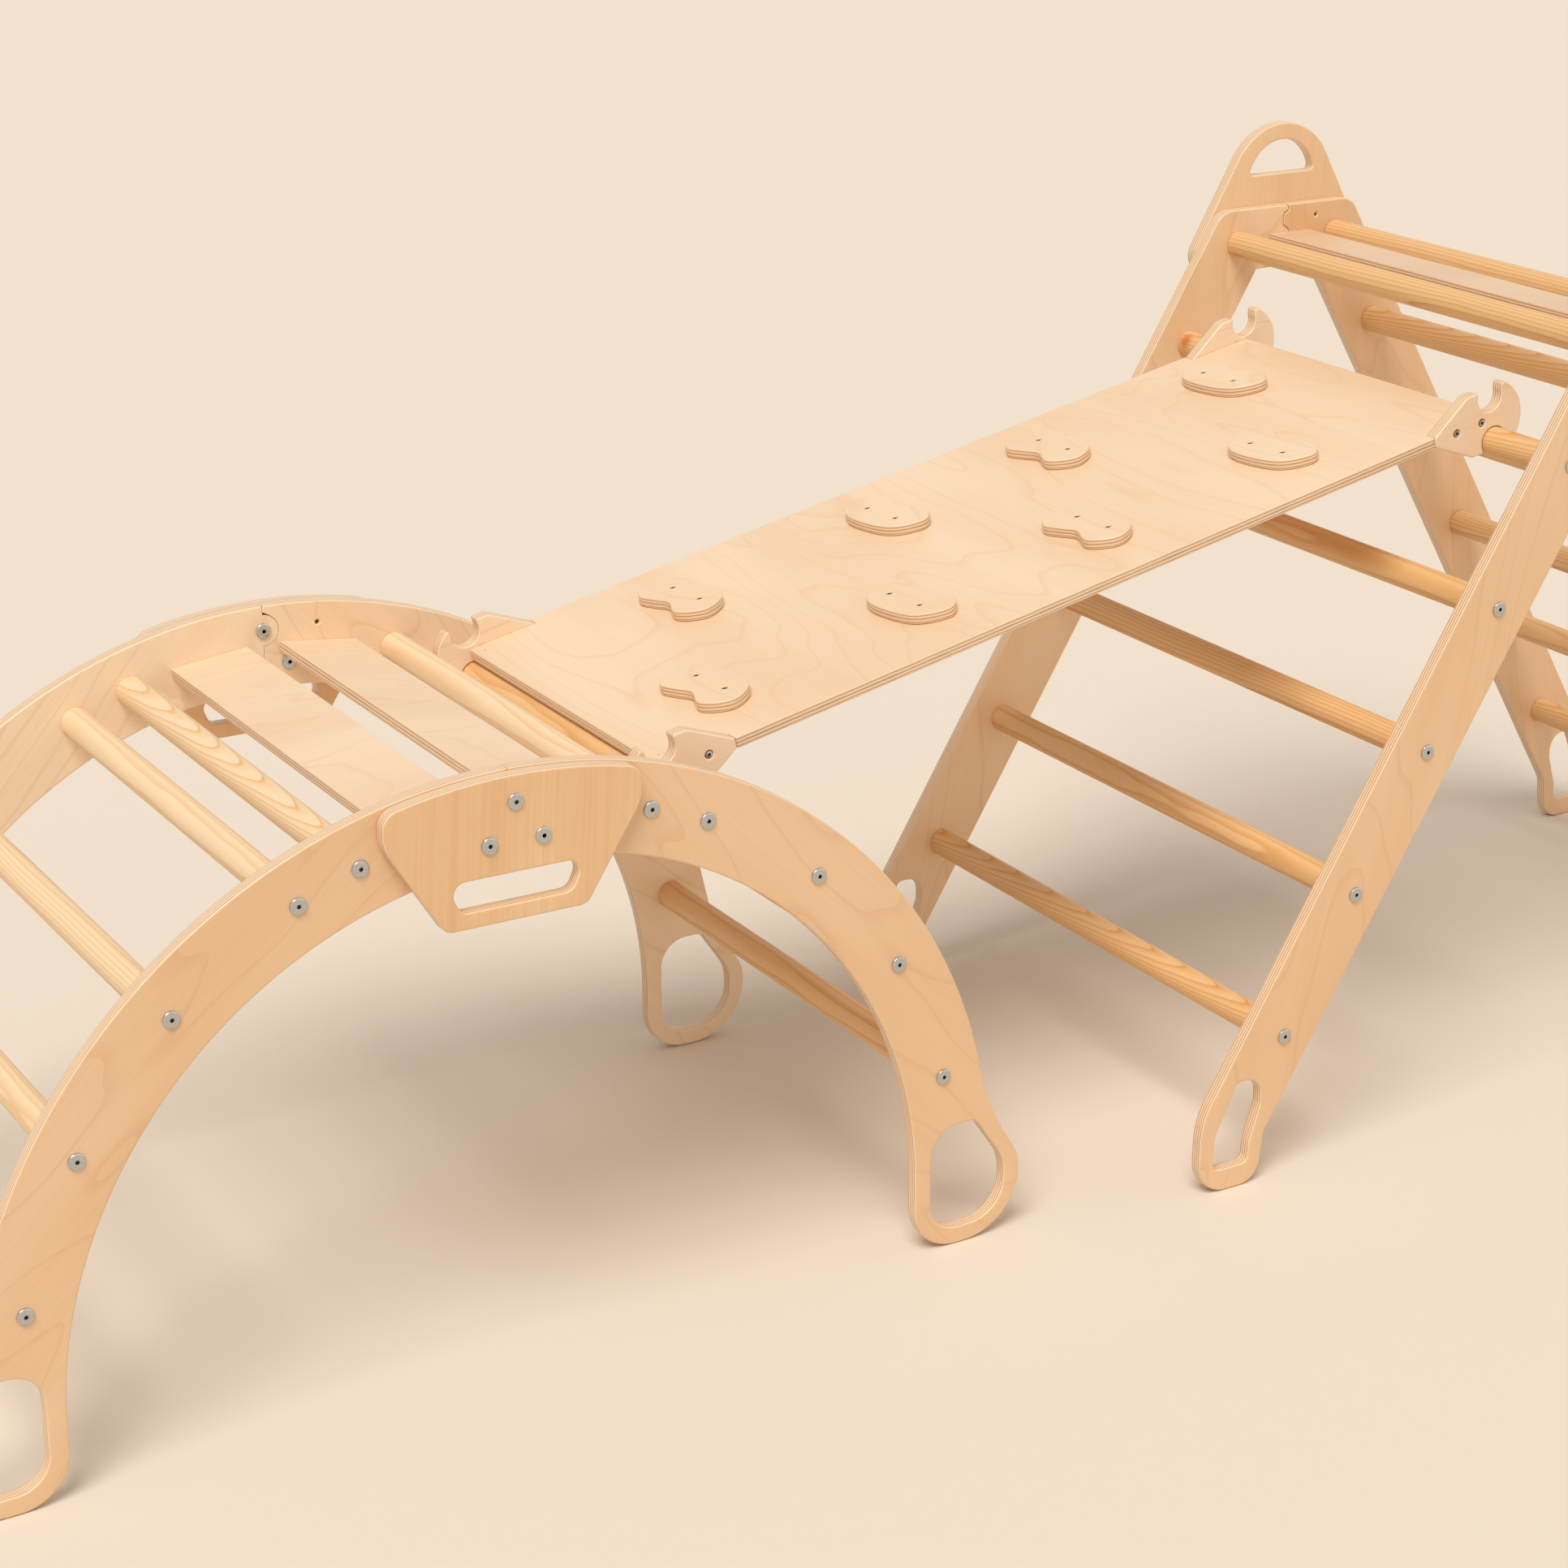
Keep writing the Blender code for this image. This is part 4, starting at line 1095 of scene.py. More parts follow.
@dataclass
class Arch:
    """The folding arch: two half rings on feet, joined by handle plates, with rungs and slats."""

    finishes: Finishes
    half_width: float = 0.2941
    ring: float = 0.5
    ring_width: float = 0.0913
    hub_z: float = 0.0767
    leaves_deg: float = 12.2
    waist_drop: float = 0.0415
    rung_degs: tuple[float, ...] = (17.3, 24.8, 41.9, 59.0, 76.1)
    ramp_rung: int = 2
    foot_reach: float = 0.084
    shoulder_z: float = 0.083
    foot_radii: tuple[float, ...] = (0.24, 0.052, 0.068, 0.05)
    rim: float = 0.0192
    hole_height: float = 0.1186
    lock_drop: float = 0.0273
    pivot_drop: float = 0.0653
    screw_offset: float = 0.0618
    knob: float = 0.017
    play: float = 0.0005
    plate_half_length: float = 0.132
    plate_margin: float = 0.0013
    plate_side_drop: float = 0.0495
    plate_drop: float = 0.1435
    plate_half_foot: float = 0.0725
    plate_radii: Triple = (0.018, 0.04, 0.014)
    grip_drop: float = 0.0965
    grip_height: float = 0.0304
    grip_half_top: float = 0.0705
    grip_half_bottom: float = 0.057
    grip_radius: float = 0.012
    slat_deg: float = 7.0
    slat_width: float = 0.086
    slat_inset: float = 0.0426
    round_over: float = 0.0022
    left_cuts: tuple[PineCut, ...] = (
        PineCut.ARCHED, PineCut.STRAIGHT, PineCut.FINE, PineCut.STRAIGHT, PineCut.FINE,
    )
    right_cuts: tuple[PineCut, ...] = (
        PineCut.STRAIGHT, PineCut.STRAIGHT, PineCut.FINE, PineCut.STRAIGHT, PineCut.STRAIGHT,
    )

    @property
    def outer(self) -> float:
        """The ring's outer radius."""
        return self.ring + self.ring_width / 2.0

    @property
    def inner(self) -> float:
        """The ring's inner radius."""
        return self.ring - self.ring_width / 2.0

    @property
    def top(self) -> float:
        """The height of the ring's top."""
        return self.hub_z + self.outer

    @property
    def hub(self) -> Point:
        """The ring's centre."""
        return (0.0, self.hub_z)

    @property
    def pivot(self) -> Point:
        """The fold's axis, from the arch's middle."""
        return (-PIVOT_OFFSET, self.top - self.pivot_drop)

    @property
    def lock(self) -> Point:
        """The lock bolt's axis, from the arch's middle."""
        return (0.0, self.top - self.lock_drop)

    def on_ring(self, end: End, radius: float, degrees: float) -> Point:
        """A point of the set that lies at a radius and at an angle from the arch's top."""
        angle = math.radians(degrees)
        return (ARCH_X + end.value * radius * math.sin(angle), self.hub_z + radius * math.cos(angle))

    def foot(self) -> list[Point]:
        """Draws the right foot.

        Returns:
            Its outline, from the ring's outer edge round to its inner edge.
        """
        angle = math.radians(self.leaves_deg)
        leaves = Vector((math.cos(angle), math.sin(angle))) * self.outer + Vector(self.hub)
        waist = leaves + Vector((math.sin(angle), -math.cos(angle))) * self.waist_drop
        toe = self.ring + self.foot_reach
        corners = ((waist.x, waist.y), (toe, self.shoulder_z), (toe, 0.0), (self.inner, 0.0))
        bends = [(*corner, radius) for corner, radius in zip(corners, self.foot_radii)]
        return rounded([tuple(leaves), *bends, (self.inner, self.hub_z)], 5.0)

    def foot_hole(self) -> list[Point]:
        """Draws the hole in the right foot.

        Returns:
            Its outline.
        """
        left = self.inner + self.rim
        right = self.ring + self.foot_reach - self.rim
        top = self.rim + self.hole_height
        # Its corners' radii are shares of its width.
        width = right - left
        return rounded([
            (left, top, width * 0.36), (left, self.rim, width * 0.36), (right, self.rim, width * 0.46),
            (right, self.shoulder_z, width * 0.5), (left + width * 0.586, top, width * 0.19),
        ])

    def right_seam(self) -> list[Point]:
        """Draws the right half's edge at the seam.

        Returns:
            The knob's socket and the relief round the pivot.
        """
        socket_radius = self.knob + self.play
        lift = direction(self.pivot, self.lock)
        start = math.degrees(math.asin(GAP / socket_radius)) - 90.0
        socket = arc(self.lock, socket_radius, start, lift, 6.0)
        reach = math.dist(self.pivot, self.lock) + socket_radius
        end = math.degrees(math.acos((GAP + PIVOT_OFFSET) / reach))
        return socket + arc(self.pivot, reach, lift, end, 2.0)[1:]

    def left_seam(self) -> list[Point]:
        """Draws the left half's edge at the seam.

        Returns:
            The heel round the pivot and the knob.
        """
        heel_radius = PIVOT_OFFSET - GAP
        reach = math.dist(self.pivot, self.hub)
        cosine = (reach ** 2 + heel_radius ** 2 - self.inner ** 2) / (2.0 * reach * heel_radius)
        heel_deg = direction(self.pivot, self.hub) + math.degrees(math.acos(cosine))
        heel = arc(self.pivot, heel_radius, heel_deg, 0.0, 6.0)
        return heel + arc(self.lock, self.knob, -90.0, 90.0, 6.0)

    def right_outline(self) -> list[Point]:
        """Draws the right half, with the socket for the left half's knob.

        Returns:
            Its outline.
        """
        outer_deg = math.degrees(math.acos(GAP / self.outer))
        inner_deg = math.degrees(math.acos(GAP / self.inner))
        outer = arc(self.hub, self.outer, outer_deg, self.leaves_deg, RING_STEP_DEG)[:-1]
        inner = arc(self.hub, self.inner, 0.0, inner_deg, RING_STEP_DEG)[1:]
        return outer + self.foot() + inner + self.right_seam()

    def left_outline(self) -> list[Point]:
        """Draws the left half, with its knob.

        Returns:
            Its outline.
        """
        seam = self.left_seam()
        outer = arc(self.hub, self.outer, 90.0, self.leaves_deg, RING_STEP_DEG)[:-1]
        inner_deg = math.degrees(math.acos(-seam[0][0] / self.inner))
        inner = arc(self.hub, self.inner, 0.0, inner_deg, RING_STEP_DEG)[1:-1]
        return seam + other_side(outer + self.foot() + inner)

    def plate_outline(self) -> list[Point]:
        """Draws the handle plate.

        Returns:
            Its outline.
        """
        radius = self.outer - self.plate_margin
        length = self.plate_half_length
        half_deg = math.degrees(math.asin((length - self.plate_radii[0]) / radius))
        top = arc(self.hub, radius, 90.0 + half_deg, 90.0 - half_deg, RING_STEP_DEG)
        corners = (
            (length, self.hub_z + math.sqrt(radius ** 2 - length ** 2)),
            (length, self.top - self.plate_side_drop),
            (self.plate_half_foot, self.top - self.plate_drop),
        )
        side = [(*corner, bend) for corner, bend in zip(corners, self.plate_radii)]
        return rounded([*top[1:-1], *side, *mirrored(side)], 6.0)

    def grip_outline(self) -> list[Point]:
        """Draws the plate's hand slot.

        Returns:
            Its outline.
        """
        top = self.top - self.grip_drop
        side = [
            (self.grip_half_top, top, self.grip_radius),
            (self.grip_half_bottom, top - self.grip_height, self.grip_radius),
        ]
        return rounded([*side, *mirrored(side)], 9.0)

    def build(self) -> None:
        """Builds the whole arch."""
        self.build_panels()
        joint = Joint(
            prefix="arch", middle_x=ARCH_X, half_width=self.half_width, outline=self.plate_outline(),
            grip=self.grip_outline(), pivot=self.pivot, lock=self.lock, lock_turn=0.3,
            round_over=self.round_over, body="arch_right", finishes=self.finishes,
        )
        wood = BirchPlywood(
            "birch_arch_plate", SheetFrame((ARCH_X, 0.0, 0.0), (0.06, 0.0, 1.0)), joint.middle_depth,
            pale="EFCA9C", warm_and_painted_shade="E5B683", streak="D48C46", figure=0.05, stripe=0.2,
        ).build()
        for side in Side:
            joint.build(side, wood)
            self.build_lock_nut(side)
        for end, cuts in ((End.LEFT, self.left_cuts), (End.RIGHT, self.right_cuts)):
            self.build_rungs(end, cuts)
            self.build_slat(end)

    def build_panels(self) -> None:
        """Builds the four half rings."""
        middle = self.half_width - PLY / 2.0
        screw_hole = round_hole((self.screw_offset, self.lock[1]), SCREW_HOLE_RADIUS, SMALL_HOLE_DEG)
        foot_hole = self.foot_hole()
        cuts = {
            End.RIGHT: (self.right_outline(), [foot_hole, screw_hole], self.right_seam(), (1.0, 0.0, -1.0)),
            End.LEFT: (self.left_outline(), [other_side(foot_hole)], self.left_seam(), (1.0, 0.0, 1.0)),
        }
        for side in Side:
            for end in End:
                outline, holes, seam, grain = cuts[end]
                placed = [shifted(hole, ARCH_X) for hole in holes]
                mesh = sheet_mesh(
                    shifted(outline, ARCH_X), placed, side.layer(self.half_width), self.round_over,
                    shifted(seam, ARCH_X),
                )
                node = f"arch_{end.label}_panel_{side.label}"
                sheet = SheetFrame((ARCH_X, 0.0, 0.0), grain)
                # Sheets at the back take a paler tone, which is painted light.
                finish = BirchPlywood(f"birch_{node}", sheet, middle, **SIDE_TONES_WITH_PAINTED_LIGHT[side]).build()
                make_piece(node, mesh, [finish], f"arch_{end.label}")

    def build_lock_nut(self, side: Side) -> None:
        """Builds the nut that a lock bolt goes into.

        Args:
            side: The side of the set.
        """
        nut = bmesh.new()
        add_through_bolt(nut, (ARCH_X + self.lock[0], self.lock[1]), self.half_width, side, None, 0)
        make_piece(f"arch_lock_nut_{side.label}", nut, self.finishes.bolt, "arch_left")

    def rung_centre(self, end: End, number: int) -> Point:
        """The x and z of a half's rung, numbered from 1 at the top."""
        return self.on_ring(end, self.ring, self.rung_degs[number - 1])

    def build_rungs(self, end: End, cuts: Sequence[PineCut]) -> None:
        """Builds one half's rungs.

        Args:
            end: Which half.
            cuts: How each rung lay in its log, from the top down.
        """
        body = f"arch_{end.label}"
        for number, cut in enumerate(cuts, 1):
            centre = self.rung_centre(end, number)
            node = f"{body}_rung_{number}"
            # The right half's rungs below the top one get the warm tone, which is partly painted shade.
            tone = PineTone.WARM_AND_PAINTED_SHADE if end is End.RIGHT and number > 1 else PineTone.PALE
            wood = PineDowel(f"pine_{node}", centre, cut, tone)
            Rung(node, centre, self.half_width, True, body, wood, self.finishes).build()

    def build_slat(self, end: End) -> None:
        """Builds one half's slat.

        Args:
            end: Which half.
        """
        body = f"arch_{end.label}"
        top = self.on_ring(end, self.outer - self.slat_inset, self.slat_deg)
        lean_deg = -end.value * self.slat_deg
        # The slat's paler tone is painted light from above.
        Slat(f"{body}_slat", top, lean_deg, self.slat_width, self.half_width, body, FLAT_PAINTED_LIGHT_TONES).build()


@dataclass
class Triangle:
    """The folding ladder triangle: two pairs of legs, handle plates, rungs and a top slat."""

    finishes: Finishes
    half_width: float = 0.3413
    half_length: float = 0.6004
    top: float = 0.909
    leg_deg: float = 31.25
    leg_width: float = 0.0888
    leg_axis_foot: float = 0.601
    leg_radii: tuple[float, ...] = (0.026, 0.09, 0.037, 0.027, 0.03)
    ladder_deg: float = 30.79
    ladder_foot: Point = (0.4941, 0.1656)
    ladder_step: float = 0.1704
    ladder_top_step: float = 0.1355
    ramp_rung: int = 5
    foot_width: float = 0.0804
    heel_height: float = 0.0575
    hole_height: float = 0.124
    pivot_drop: float = 0.0645
    crotch_drop: float = 0.076
    lock: Point = (-0.016, 0.025)
    screw: Point = (0.0456, 0.0163)
    seam_x: float = 0.0038
    tab_width: float = 0.0088
    tab_top_drop: float = 0.007
    tab_bottom_drop: float = 0.025
    tab_radius: float = 0.0035
    tab_top_radius: float = 0.002
    seam_lean: float = 0.004
    plate_top: float = 1.0068
    plate_bottom: float = 0.8294
    plate_deg: float = 29.9
    plate_top_radius: float = 0.0785
    plate_corner: float = 0.025
    grip_margin: float = 0.02
    grip_radius: float = 0.0512
    grip_height: float = 0.0411
    grip_corner: float = 0.005
    slat_width: float = 0.06
    slat_place: Point = (0.003, 0.033)
    round_over: float = 0.002
    cuts: tuple[PineCut, ...] = (
        PineCut.ARCHED, PineCut.STRAIGHT, PineCut.FINE, PineCut.STRAIGHT, PineCut.ARCHED, PineCut.FINE,
    )
    knotty_rung: str = "tri_left_rung_5"
    knot_y: float = 0.314

    @property
    def pivot(self) -> Point:
        """The fold's axis, from the triangle's middle."""
        return (-PIVOT_OFFSET, self.top - self.pivot_drop)

    @property
    def crotch(self) -> float:
        """The height at which the legs part."""
        return self.top - self.crotch_drop

    def leg_x(self, z: float, side: int) -> float:
        """Finds where a right leg's edge is at a height.

        Args:
            z: The height.
            side: 1 for the outer edge, -1 for the inner edge.

        Returns:
            The edge's x.
        """
        lean = math.radians(self.leg_deg)
        return self.leg_axis_foot + side * self.leg_width / 2.0 / math.cos(lean) - math.tan(lean) * z

    def flank(self) -> list[Point]:
        """Draws a right leg.

        Returns:
            Its outline, from its top's outer corner down round the foot and up to the crotch.
        """
        shoulder = (self.leg_x(0.0, 1) - self.half_length) / math.tan(math.radians(self.leg_deg))
        heel = self.half_length - self.foot_width
        corners = (
            (self.leg_x(self.top, 1), self.top), (self.half_length, shoulder), (self.half_length, 0.0),
            (heel, 0.0), (self.leg_x(self.heel_height, -1), self.heel_height),
        )
        bends = [(*corner, radius) for corner, radius in zip(corners, self.leg_radii)]
        inside = (self.leg_x(self.crotch, -1), self.crotch)
        return rounded([(0.0, self.top), *bends, inside, (0.0, self.crotch)], 6.0)[1:-1]

    def foot_hole(self) -> list[Point]:
        """Draws the hole in a right leg's foot.

        Returns:
            Its outline.
        """
        # Each corner is a share of the foot's width, of the hole's height and again of the width.
        shares = (
            (0.24, 0.205, 0.11), (0.24, 0.52, 0.5), (0.57, 1.0, 0.1), (0.987, 1.0, 0.27),
            (0.987, 0.735, 0.15), (0.825, 0.4, 0.25), (0.81, 0.205, 0.1),
        )
        return rounded([
            (self.half_length - self.foot_width * across, self.hole_height * up, self.foot_width * radius)
            for across, up, radius in shares
        ])

    def seam(self) -> list[Point]:
        """Draws the line between the legs, with the right leg's tab.

        Returns:
            The line, from the top down.
        """
        low = self.top - self.tab_bottom_drop
        high = self.top - self.tab_top_drop
        radius = self.tab_radius
        tab = self.seam_x - self.tab_width
        reach = math.dist(self.pivot, (tab, low))
        root = self.pivot[1] + math.sqrt(reach ** 2 - (self.seam_x - self.pivot[0]) ** 2)
        return list(reversed(rounded([
            (self.seam_x, self.pivot[1]), (self.seam_x, root, radius), (tab, low, radius),
            (tab, high - radius, radius), (self.seam_x, high, self.tab_top_radius),
            (self.seam_x - self.seam_lean, self.top),
        ])))

    def leg_outline(self, end: End) -> list[Point]:
        """Draws one leg.

        Args:
            end: Which leg.

        Returns:
            The outline, from the triangle's middle.
        """
        seam = moved_apart(self.seam(), end.value * GAP)
        seam[0] = (seam[0][0], self.top)
        if end is End.RIGHT:
            return seam + [(seam[-1][0], self.crotch)] + list(reversed(self.flank()))
        heel_radius = seam[-1][0] - self.pivot[0]
        heel_deg = math.degrees(math.asin((self.crotch - self.pivot[1]) / heel_radius))
        heel = arc(self.pivot, heel_radius, 0.0, heel_deg, 6.0)
        return seam[:-1] + heel + other_side(reversed(self.flank()))

    def plate_outline(self) -> list[Point]:
        """Draws the handle plate, a rounded triangle.

        Returns:
            Its outline.
        """
        slope = math.radians(self.plate_deg)
        radius = self.plate_top_radius
        apex = self.plate_top + radius * (1.0 / math.sin(slope) - 1.0)
        foot = (apex - self.plate_bottom) * math.tan(slope)
        corner = (foot, self.plate_bottom, self.plate_corner)
        return rounded([(0.0, apex, radius), corner, *mirrored([corner])], 5.0)

    def grip_outline(self) -> list[Point]:
        """Draws the plate's grip hole.

        Returns:
            Its outline.
        """
        radius = self.grip_radius
        corner = self.grip_corner
        centre = self.plate_top - self.grip_margin - radius
        bottom = self.plate_top - self.grip_margin - self.grip_height
        low = math.degrees(math.asin((bottom + corner - centre) / radius))
        top = arc((0.0, centre), radius, low, 180.0 - low, 6.0)
        x = math.sqrt(radius ** 2 - (bottom - centre) ** 2)
        return rounded([*top[1:-1], (-x, bottom, corner), (x, bottom, corner)], 9.0)

    def rung_centre(self, end: End, number: int) -> Point:
        """Finds a rung's place in the set.

        Args:
            end: Which ladder.
            number: Which rung, from 1 at the foot.

        Returns:
            Its x and z.
        """
        lean = math.radians(self.ladder_deg)
        run = self.ladder_step * (number - 1)
        if number == len(self.cuts):
            run = self.ladder_step * (number - 2) + self.ladder_top_step
        x = self.ladder_foot[0] - run * math.sin(lean)
        return (TRI_X + end.value * x, self.ladder_foot[1] + run * math.cos(lean))

    def build(self) -> None:
        """Builds the whole triangle."""
        self.build_legs()
        joint = Joint(
            prefix="tri", middle_x=TRI_X, half_width=self.half_width, outline=self.plate_outline(),
            grip=self.grip_outline(), pivot=self.pivot, lock=(self.lock[0], self.top - self.lock[1]),
            lock_turn=0.7, round_over=self.round_over, body="triangle_right", finishes=self.finishes,
        )
        wood = BirchPlywood(
            "birch_triangle_plate", SheetFrame((TRI_X, 0.0, 0.0), (0.05, 0.0, 1.0)), joint.middle_depth,
            pale="F3D3AA", warm_and_painted_shade="EBC295", streak="D9944F", figure=0.05, stripe=0.12,
        ).build()
        for side in Side:
            joint.build(side, wood)
        self.build_rungs()
        Slat(
            "tri_top_slat", (TRI_X + self.slat_place[0], self.top - self.slat_place[1]), 0.0, self.slat_width,
            self.half_width, "triangle_right", TOP_SLAT_TONES,
        ).build()

    def build_legs(self) -> None:
        """Builds the four legs, whose face grain leans a third as far as they do."""
        grain_lean = math.radians(self.leg_deg) / 3.0
        middle = self.half_width - PLY / 2.0
        screw = (self.screw[0], self.top - self.screw[1])
        screw_hole = round_hole(screw, SCREW_HOLE_RADIUS, SMALL_HOLE_DEG)
        holes = {End.LEFT: [other_side(self.foot_hole())], End.RIGHT: [self.foot_hole(), screw_hole]}
        for end in End:
            grain = (-end.value * math.sin(grain_lean), 0.0, math.cos(grain_lean))
            sheet = SheetFrame((TRI_X, 0.0, 0.0), grain)
            placed = [shifted(hole, TRI_X) for hole in holes[end]]
            outline = shifted(self.leg_outline(end), TRI_X)
            for side in Side:
                mesh = sheet_mesh(outline, placed, side.layer(self.half_width), self.round_over)
                node = f"tri_{end.label}_leg_{side.label}"
                # The back left leg is painted paler, as painted light on its upper inner face; the other legs
                # keep the front sheets' tone.
                is_painted_lit = side is Side.BACK and end is End.LEFT
                tones = BACK_LEG_PAINTED_LIGHT_TONES if is_painted_lit else SIDE_TONES_WITH_PAINTED_LIGHT[Side.FRONT]
                finish = BirchPlywood(f"birch_{node}", sheet, middle, **tones).build()
                make_piece(node, mesh, [finish], f"triangle_{end.label}")

    def build_rungs(self) -> None:
        """Builds the twelve rungs, of which the top two have no heads."""
        for end in End:
            for number, cut in enumerate(self.cuts, 1):
                centre = self.rung_centre(end, number)
                node = f"tri_{end.label}_rung_{number}"
                knot_y = self.knot_y if node == self.knotty_rung else None
                # Every rung of the triangle gets the warm tone, which is partly painted shade where the light
                # falls off.
                wood = PineDowel(f"pine_{node}", centre, cut, PineTone.WARM_AND_PAINTED_SHADE, knot_y)
                has_heads = number < len(self.cuts)
                body = f"triangle_{end.label}"
                Rung(node, centre, self.half_width, has_heads, body, wood, self.finishes).build()


@dataclass
class Ramp:
    """The ramp: a board with four hooks and eight grip holds, hooked between two rungs.

    Its outlines are written along the board from the lower rung (s), across it (y) and up from the line
    between the rungs (t).
    """

    finishes: Finishes
    low: Point
    high: Point
    rise: float = 0.026
    half_width: float = 0.2215
    tail: float = 0.081
    board_round: float = 0.0012
    board_end_radius: float = 0.003
    board_side_radius: float = 0.002
    tail_half_height: float = 0.0054
    neck: float = 0.0313
    hook_height: float = 0.0352
    lip: Triple = (0.0188, 0.0378, 0.0035)
    hook_round: float = 0.002
    hook_screws: Point = (0.05, 0.014)
    hook_hole: float = 0.0043
    hook_screw_radius: float = 0.0037
    hook_screw_sink: float = 0.0006
    low_nose: float = 0.0405
    high_nose: float = 0.0445
    nose_back: float = 0.0022
    notch_play: float = 0.0006
    notch_degs: Point = (163.0, 368.0)
    row_y: float = 0.109
    front_shares: tuple[float, ...] = (0.109, 0.3425, 0.561, 0.795)
    back_shares: tuple[float, ...] = (0.201, 0.449, 0.66, 0.894)
    hold_size: Point = (0.067, 0.114)
    hold_round: float = 0.0017
    hold_screws: tuple[Point, ...] = ((0.0027, 0.0243), (0.0065, -0.0268))
    hold_hole: float = 0.0031
    hold_screw_radius: float = 0.0026
    hold_screw_sink: float = 0.0014
    pin_inset: float = 0.011
    pin_y: float = 0.19
    pin_radius: float = 0.0014
    pin_sink: float = 0.0002

    @property
    def span(self) -> float:
        """The distance between the two rungs."""
        return math.dist(self.low, self.high)

    @property
    def start(self) -> Vector:
        """The middle of the lower rung."""
        return Vector((self.low[0], 0.0, self.low[1]))

    @property
    def along(self) -> Vector:
        """The direction from the lower rung to the upper one."""
        return Vector((self.high[0] - self.low[0], 0.0, self.high[1] - self.low[1])).normalized()

    @property
    def up(self) -> Vector:
        """The direction square to the board."""
        return Vector((-self.along.z, 0.0, self.along.x))

    def hook_outline(self, nose: float) -> list[Point]:
        """Draws one hook: s towards its nose, t from the board's middle plane.

        Args:
            nose: The radius of its nose.

        Returns:
            The outline.
        """
        notch = arc((0.0, self.rise), RUNG_RADIUS + self.notch_play, *self.notch_degs, 7.0)
        tip = arc((-self.nose_back, 0.0), nose, 50.0, 0.0, 6.0)
        upper = [
            (-self.tail, self.tail_half_height, 0.004), (-self.neck, self.hook_height, 0.008),
            (notch[0][0], self.hook_height, 0.002), *notch, self.lip, *tip,
        ]
        lower = [(corner[0], -corner[1], *corner[2:]) for corner in reversed(upper[:-1])]
        return rounded([*upper, *lower], 12.0)

    def board_outline(self) -> list[Point]:
        """Draws the board from above, with a corner cut away at each hook.

        Returns:
            Its outline.
        """
        shoulder = self.half_width - PLY - GAP
        reach = self.tail + GAP
        side = [
            (0.0, shoulder, self.board_end_radius), (reach, shoulder),
            (reach, self.half_width, self.board_side_radius),
            (self.span - reach, self.half_width, self.board_side_radius),
            (self.span - reach, shoulder), (self.span, shoulder, self.board_end_radius),
        ]
        return rounded([*side, *[(s, -y, *more) for s, y, *more in reversed(side)]], 18.0)

    def hold_outline(self, s: float, y: float, facing: int) -> list[Point]:
        """Draws one hold, placed on the board.

        Args:
            s: Its middle along the board.
            y: Its middle across it.
            facing: 1, or -1 where it is turned half round.

        Returns:
            The outline.
        """
        shares = (
            (-0.49, 0.33), (-0.2, 0.5), (0.31, 0.35), (0.49, -0.08), (0.39, -0.37),
            (-0.04, -0.5), (-0.42, -0.31), (-0.3, -0.05), (-0.41, 0.135),
        )
        width, length = self.hold_size
        points = smooth_loop([(width * a, length * b) for a, b in shares], 8)
        return [(s + facing * a, y + facing * b) for a, b in points]

    def stand(self, mesh: Mesh) -> Mesh:
        """Places a mesh in the set.

        Args:
            mesh: A mesh written as (s, y, t).

        Returns:
            The same mesh.
        """
        turn = Matrix((self.along, Vector((0.0, 1.0, 0.0)), self.up)).transposed().to_4x4()
        bmesh.ops.transform(mesh, verts=mesh.verts, matrix=Matrix.Translation(self.start) @ turn)
        return mesh

    def lay(self, mesh: Mesh) -> Mesh:
        """Places a sheet flat on the ramp, with its faces looking up from the board.

        Args:
            mesh: A mesh written as (s, t, y).

        Returns:
            The same mesh.
        """
        swap = Matrix(((1, 0, 0, 0), (0, 0, 1, 0), (0, 1, 0, 0), (0, 0, 0, 1)))
        bmesh.ops.transform(mesh, verts=mesh.verts, matrix=swap)
        bmesh.ops.reverse_faces(mesh, faces=mesh.faces)
        return self.stand(mesh)

    def flat_slots(self, name: str, height: float) -> list[Material]:
        """Builds the finishes of a thin sheet that lies on the ramp.

        Args:
            name: The birch material's name.
            height: The height t of the sheet's middle.

        Returns:
            Its birch, its screws' metal and their recess.
        """
        sheet = SheetFrame(tuple(self.start + self.up * height), (0.0, 1.0, 0.0), tuple(self.up))
        # The flat sheets' paler tone is painted light from above.
        birch = BirchPlywood(name, sheet, 0.0, THIN_PLY, streak="DDA56C", figure=0.22, **FLAT_PAINTED_LIGHT_TONES).build()
        return [birch, self.finishes.screw, self.finishes.recess]

    def build(self) -> None:
        """Builds the whole ramp."""
        self.build_board()
        self.build_hooks()
        self.build_holds(self.rise + THIN_PLY / 2.0 + GAP)

    def build_board(self) -> None:
        """Builds the board with a small pin near each corner."""
        top = self.rise + THIN_PLY / 2.0
        board = sheet_mesh(self.board_outline(), [], (self.rise - THIN_PLY / 2.0, top), self.board_round)
        for s in (self.pin_inset, self.span - self.pin_inset):
            for y in (-self.pin_y, self.pin_y):
                add_screw(board, (s, y), top - self.pin_sink, 1, self.pin_radius, 1)
        slots = self.flat_slots("birch_board", self.rise)
        make_piece("ramp_board", self.lay(board), slots, "ramp")

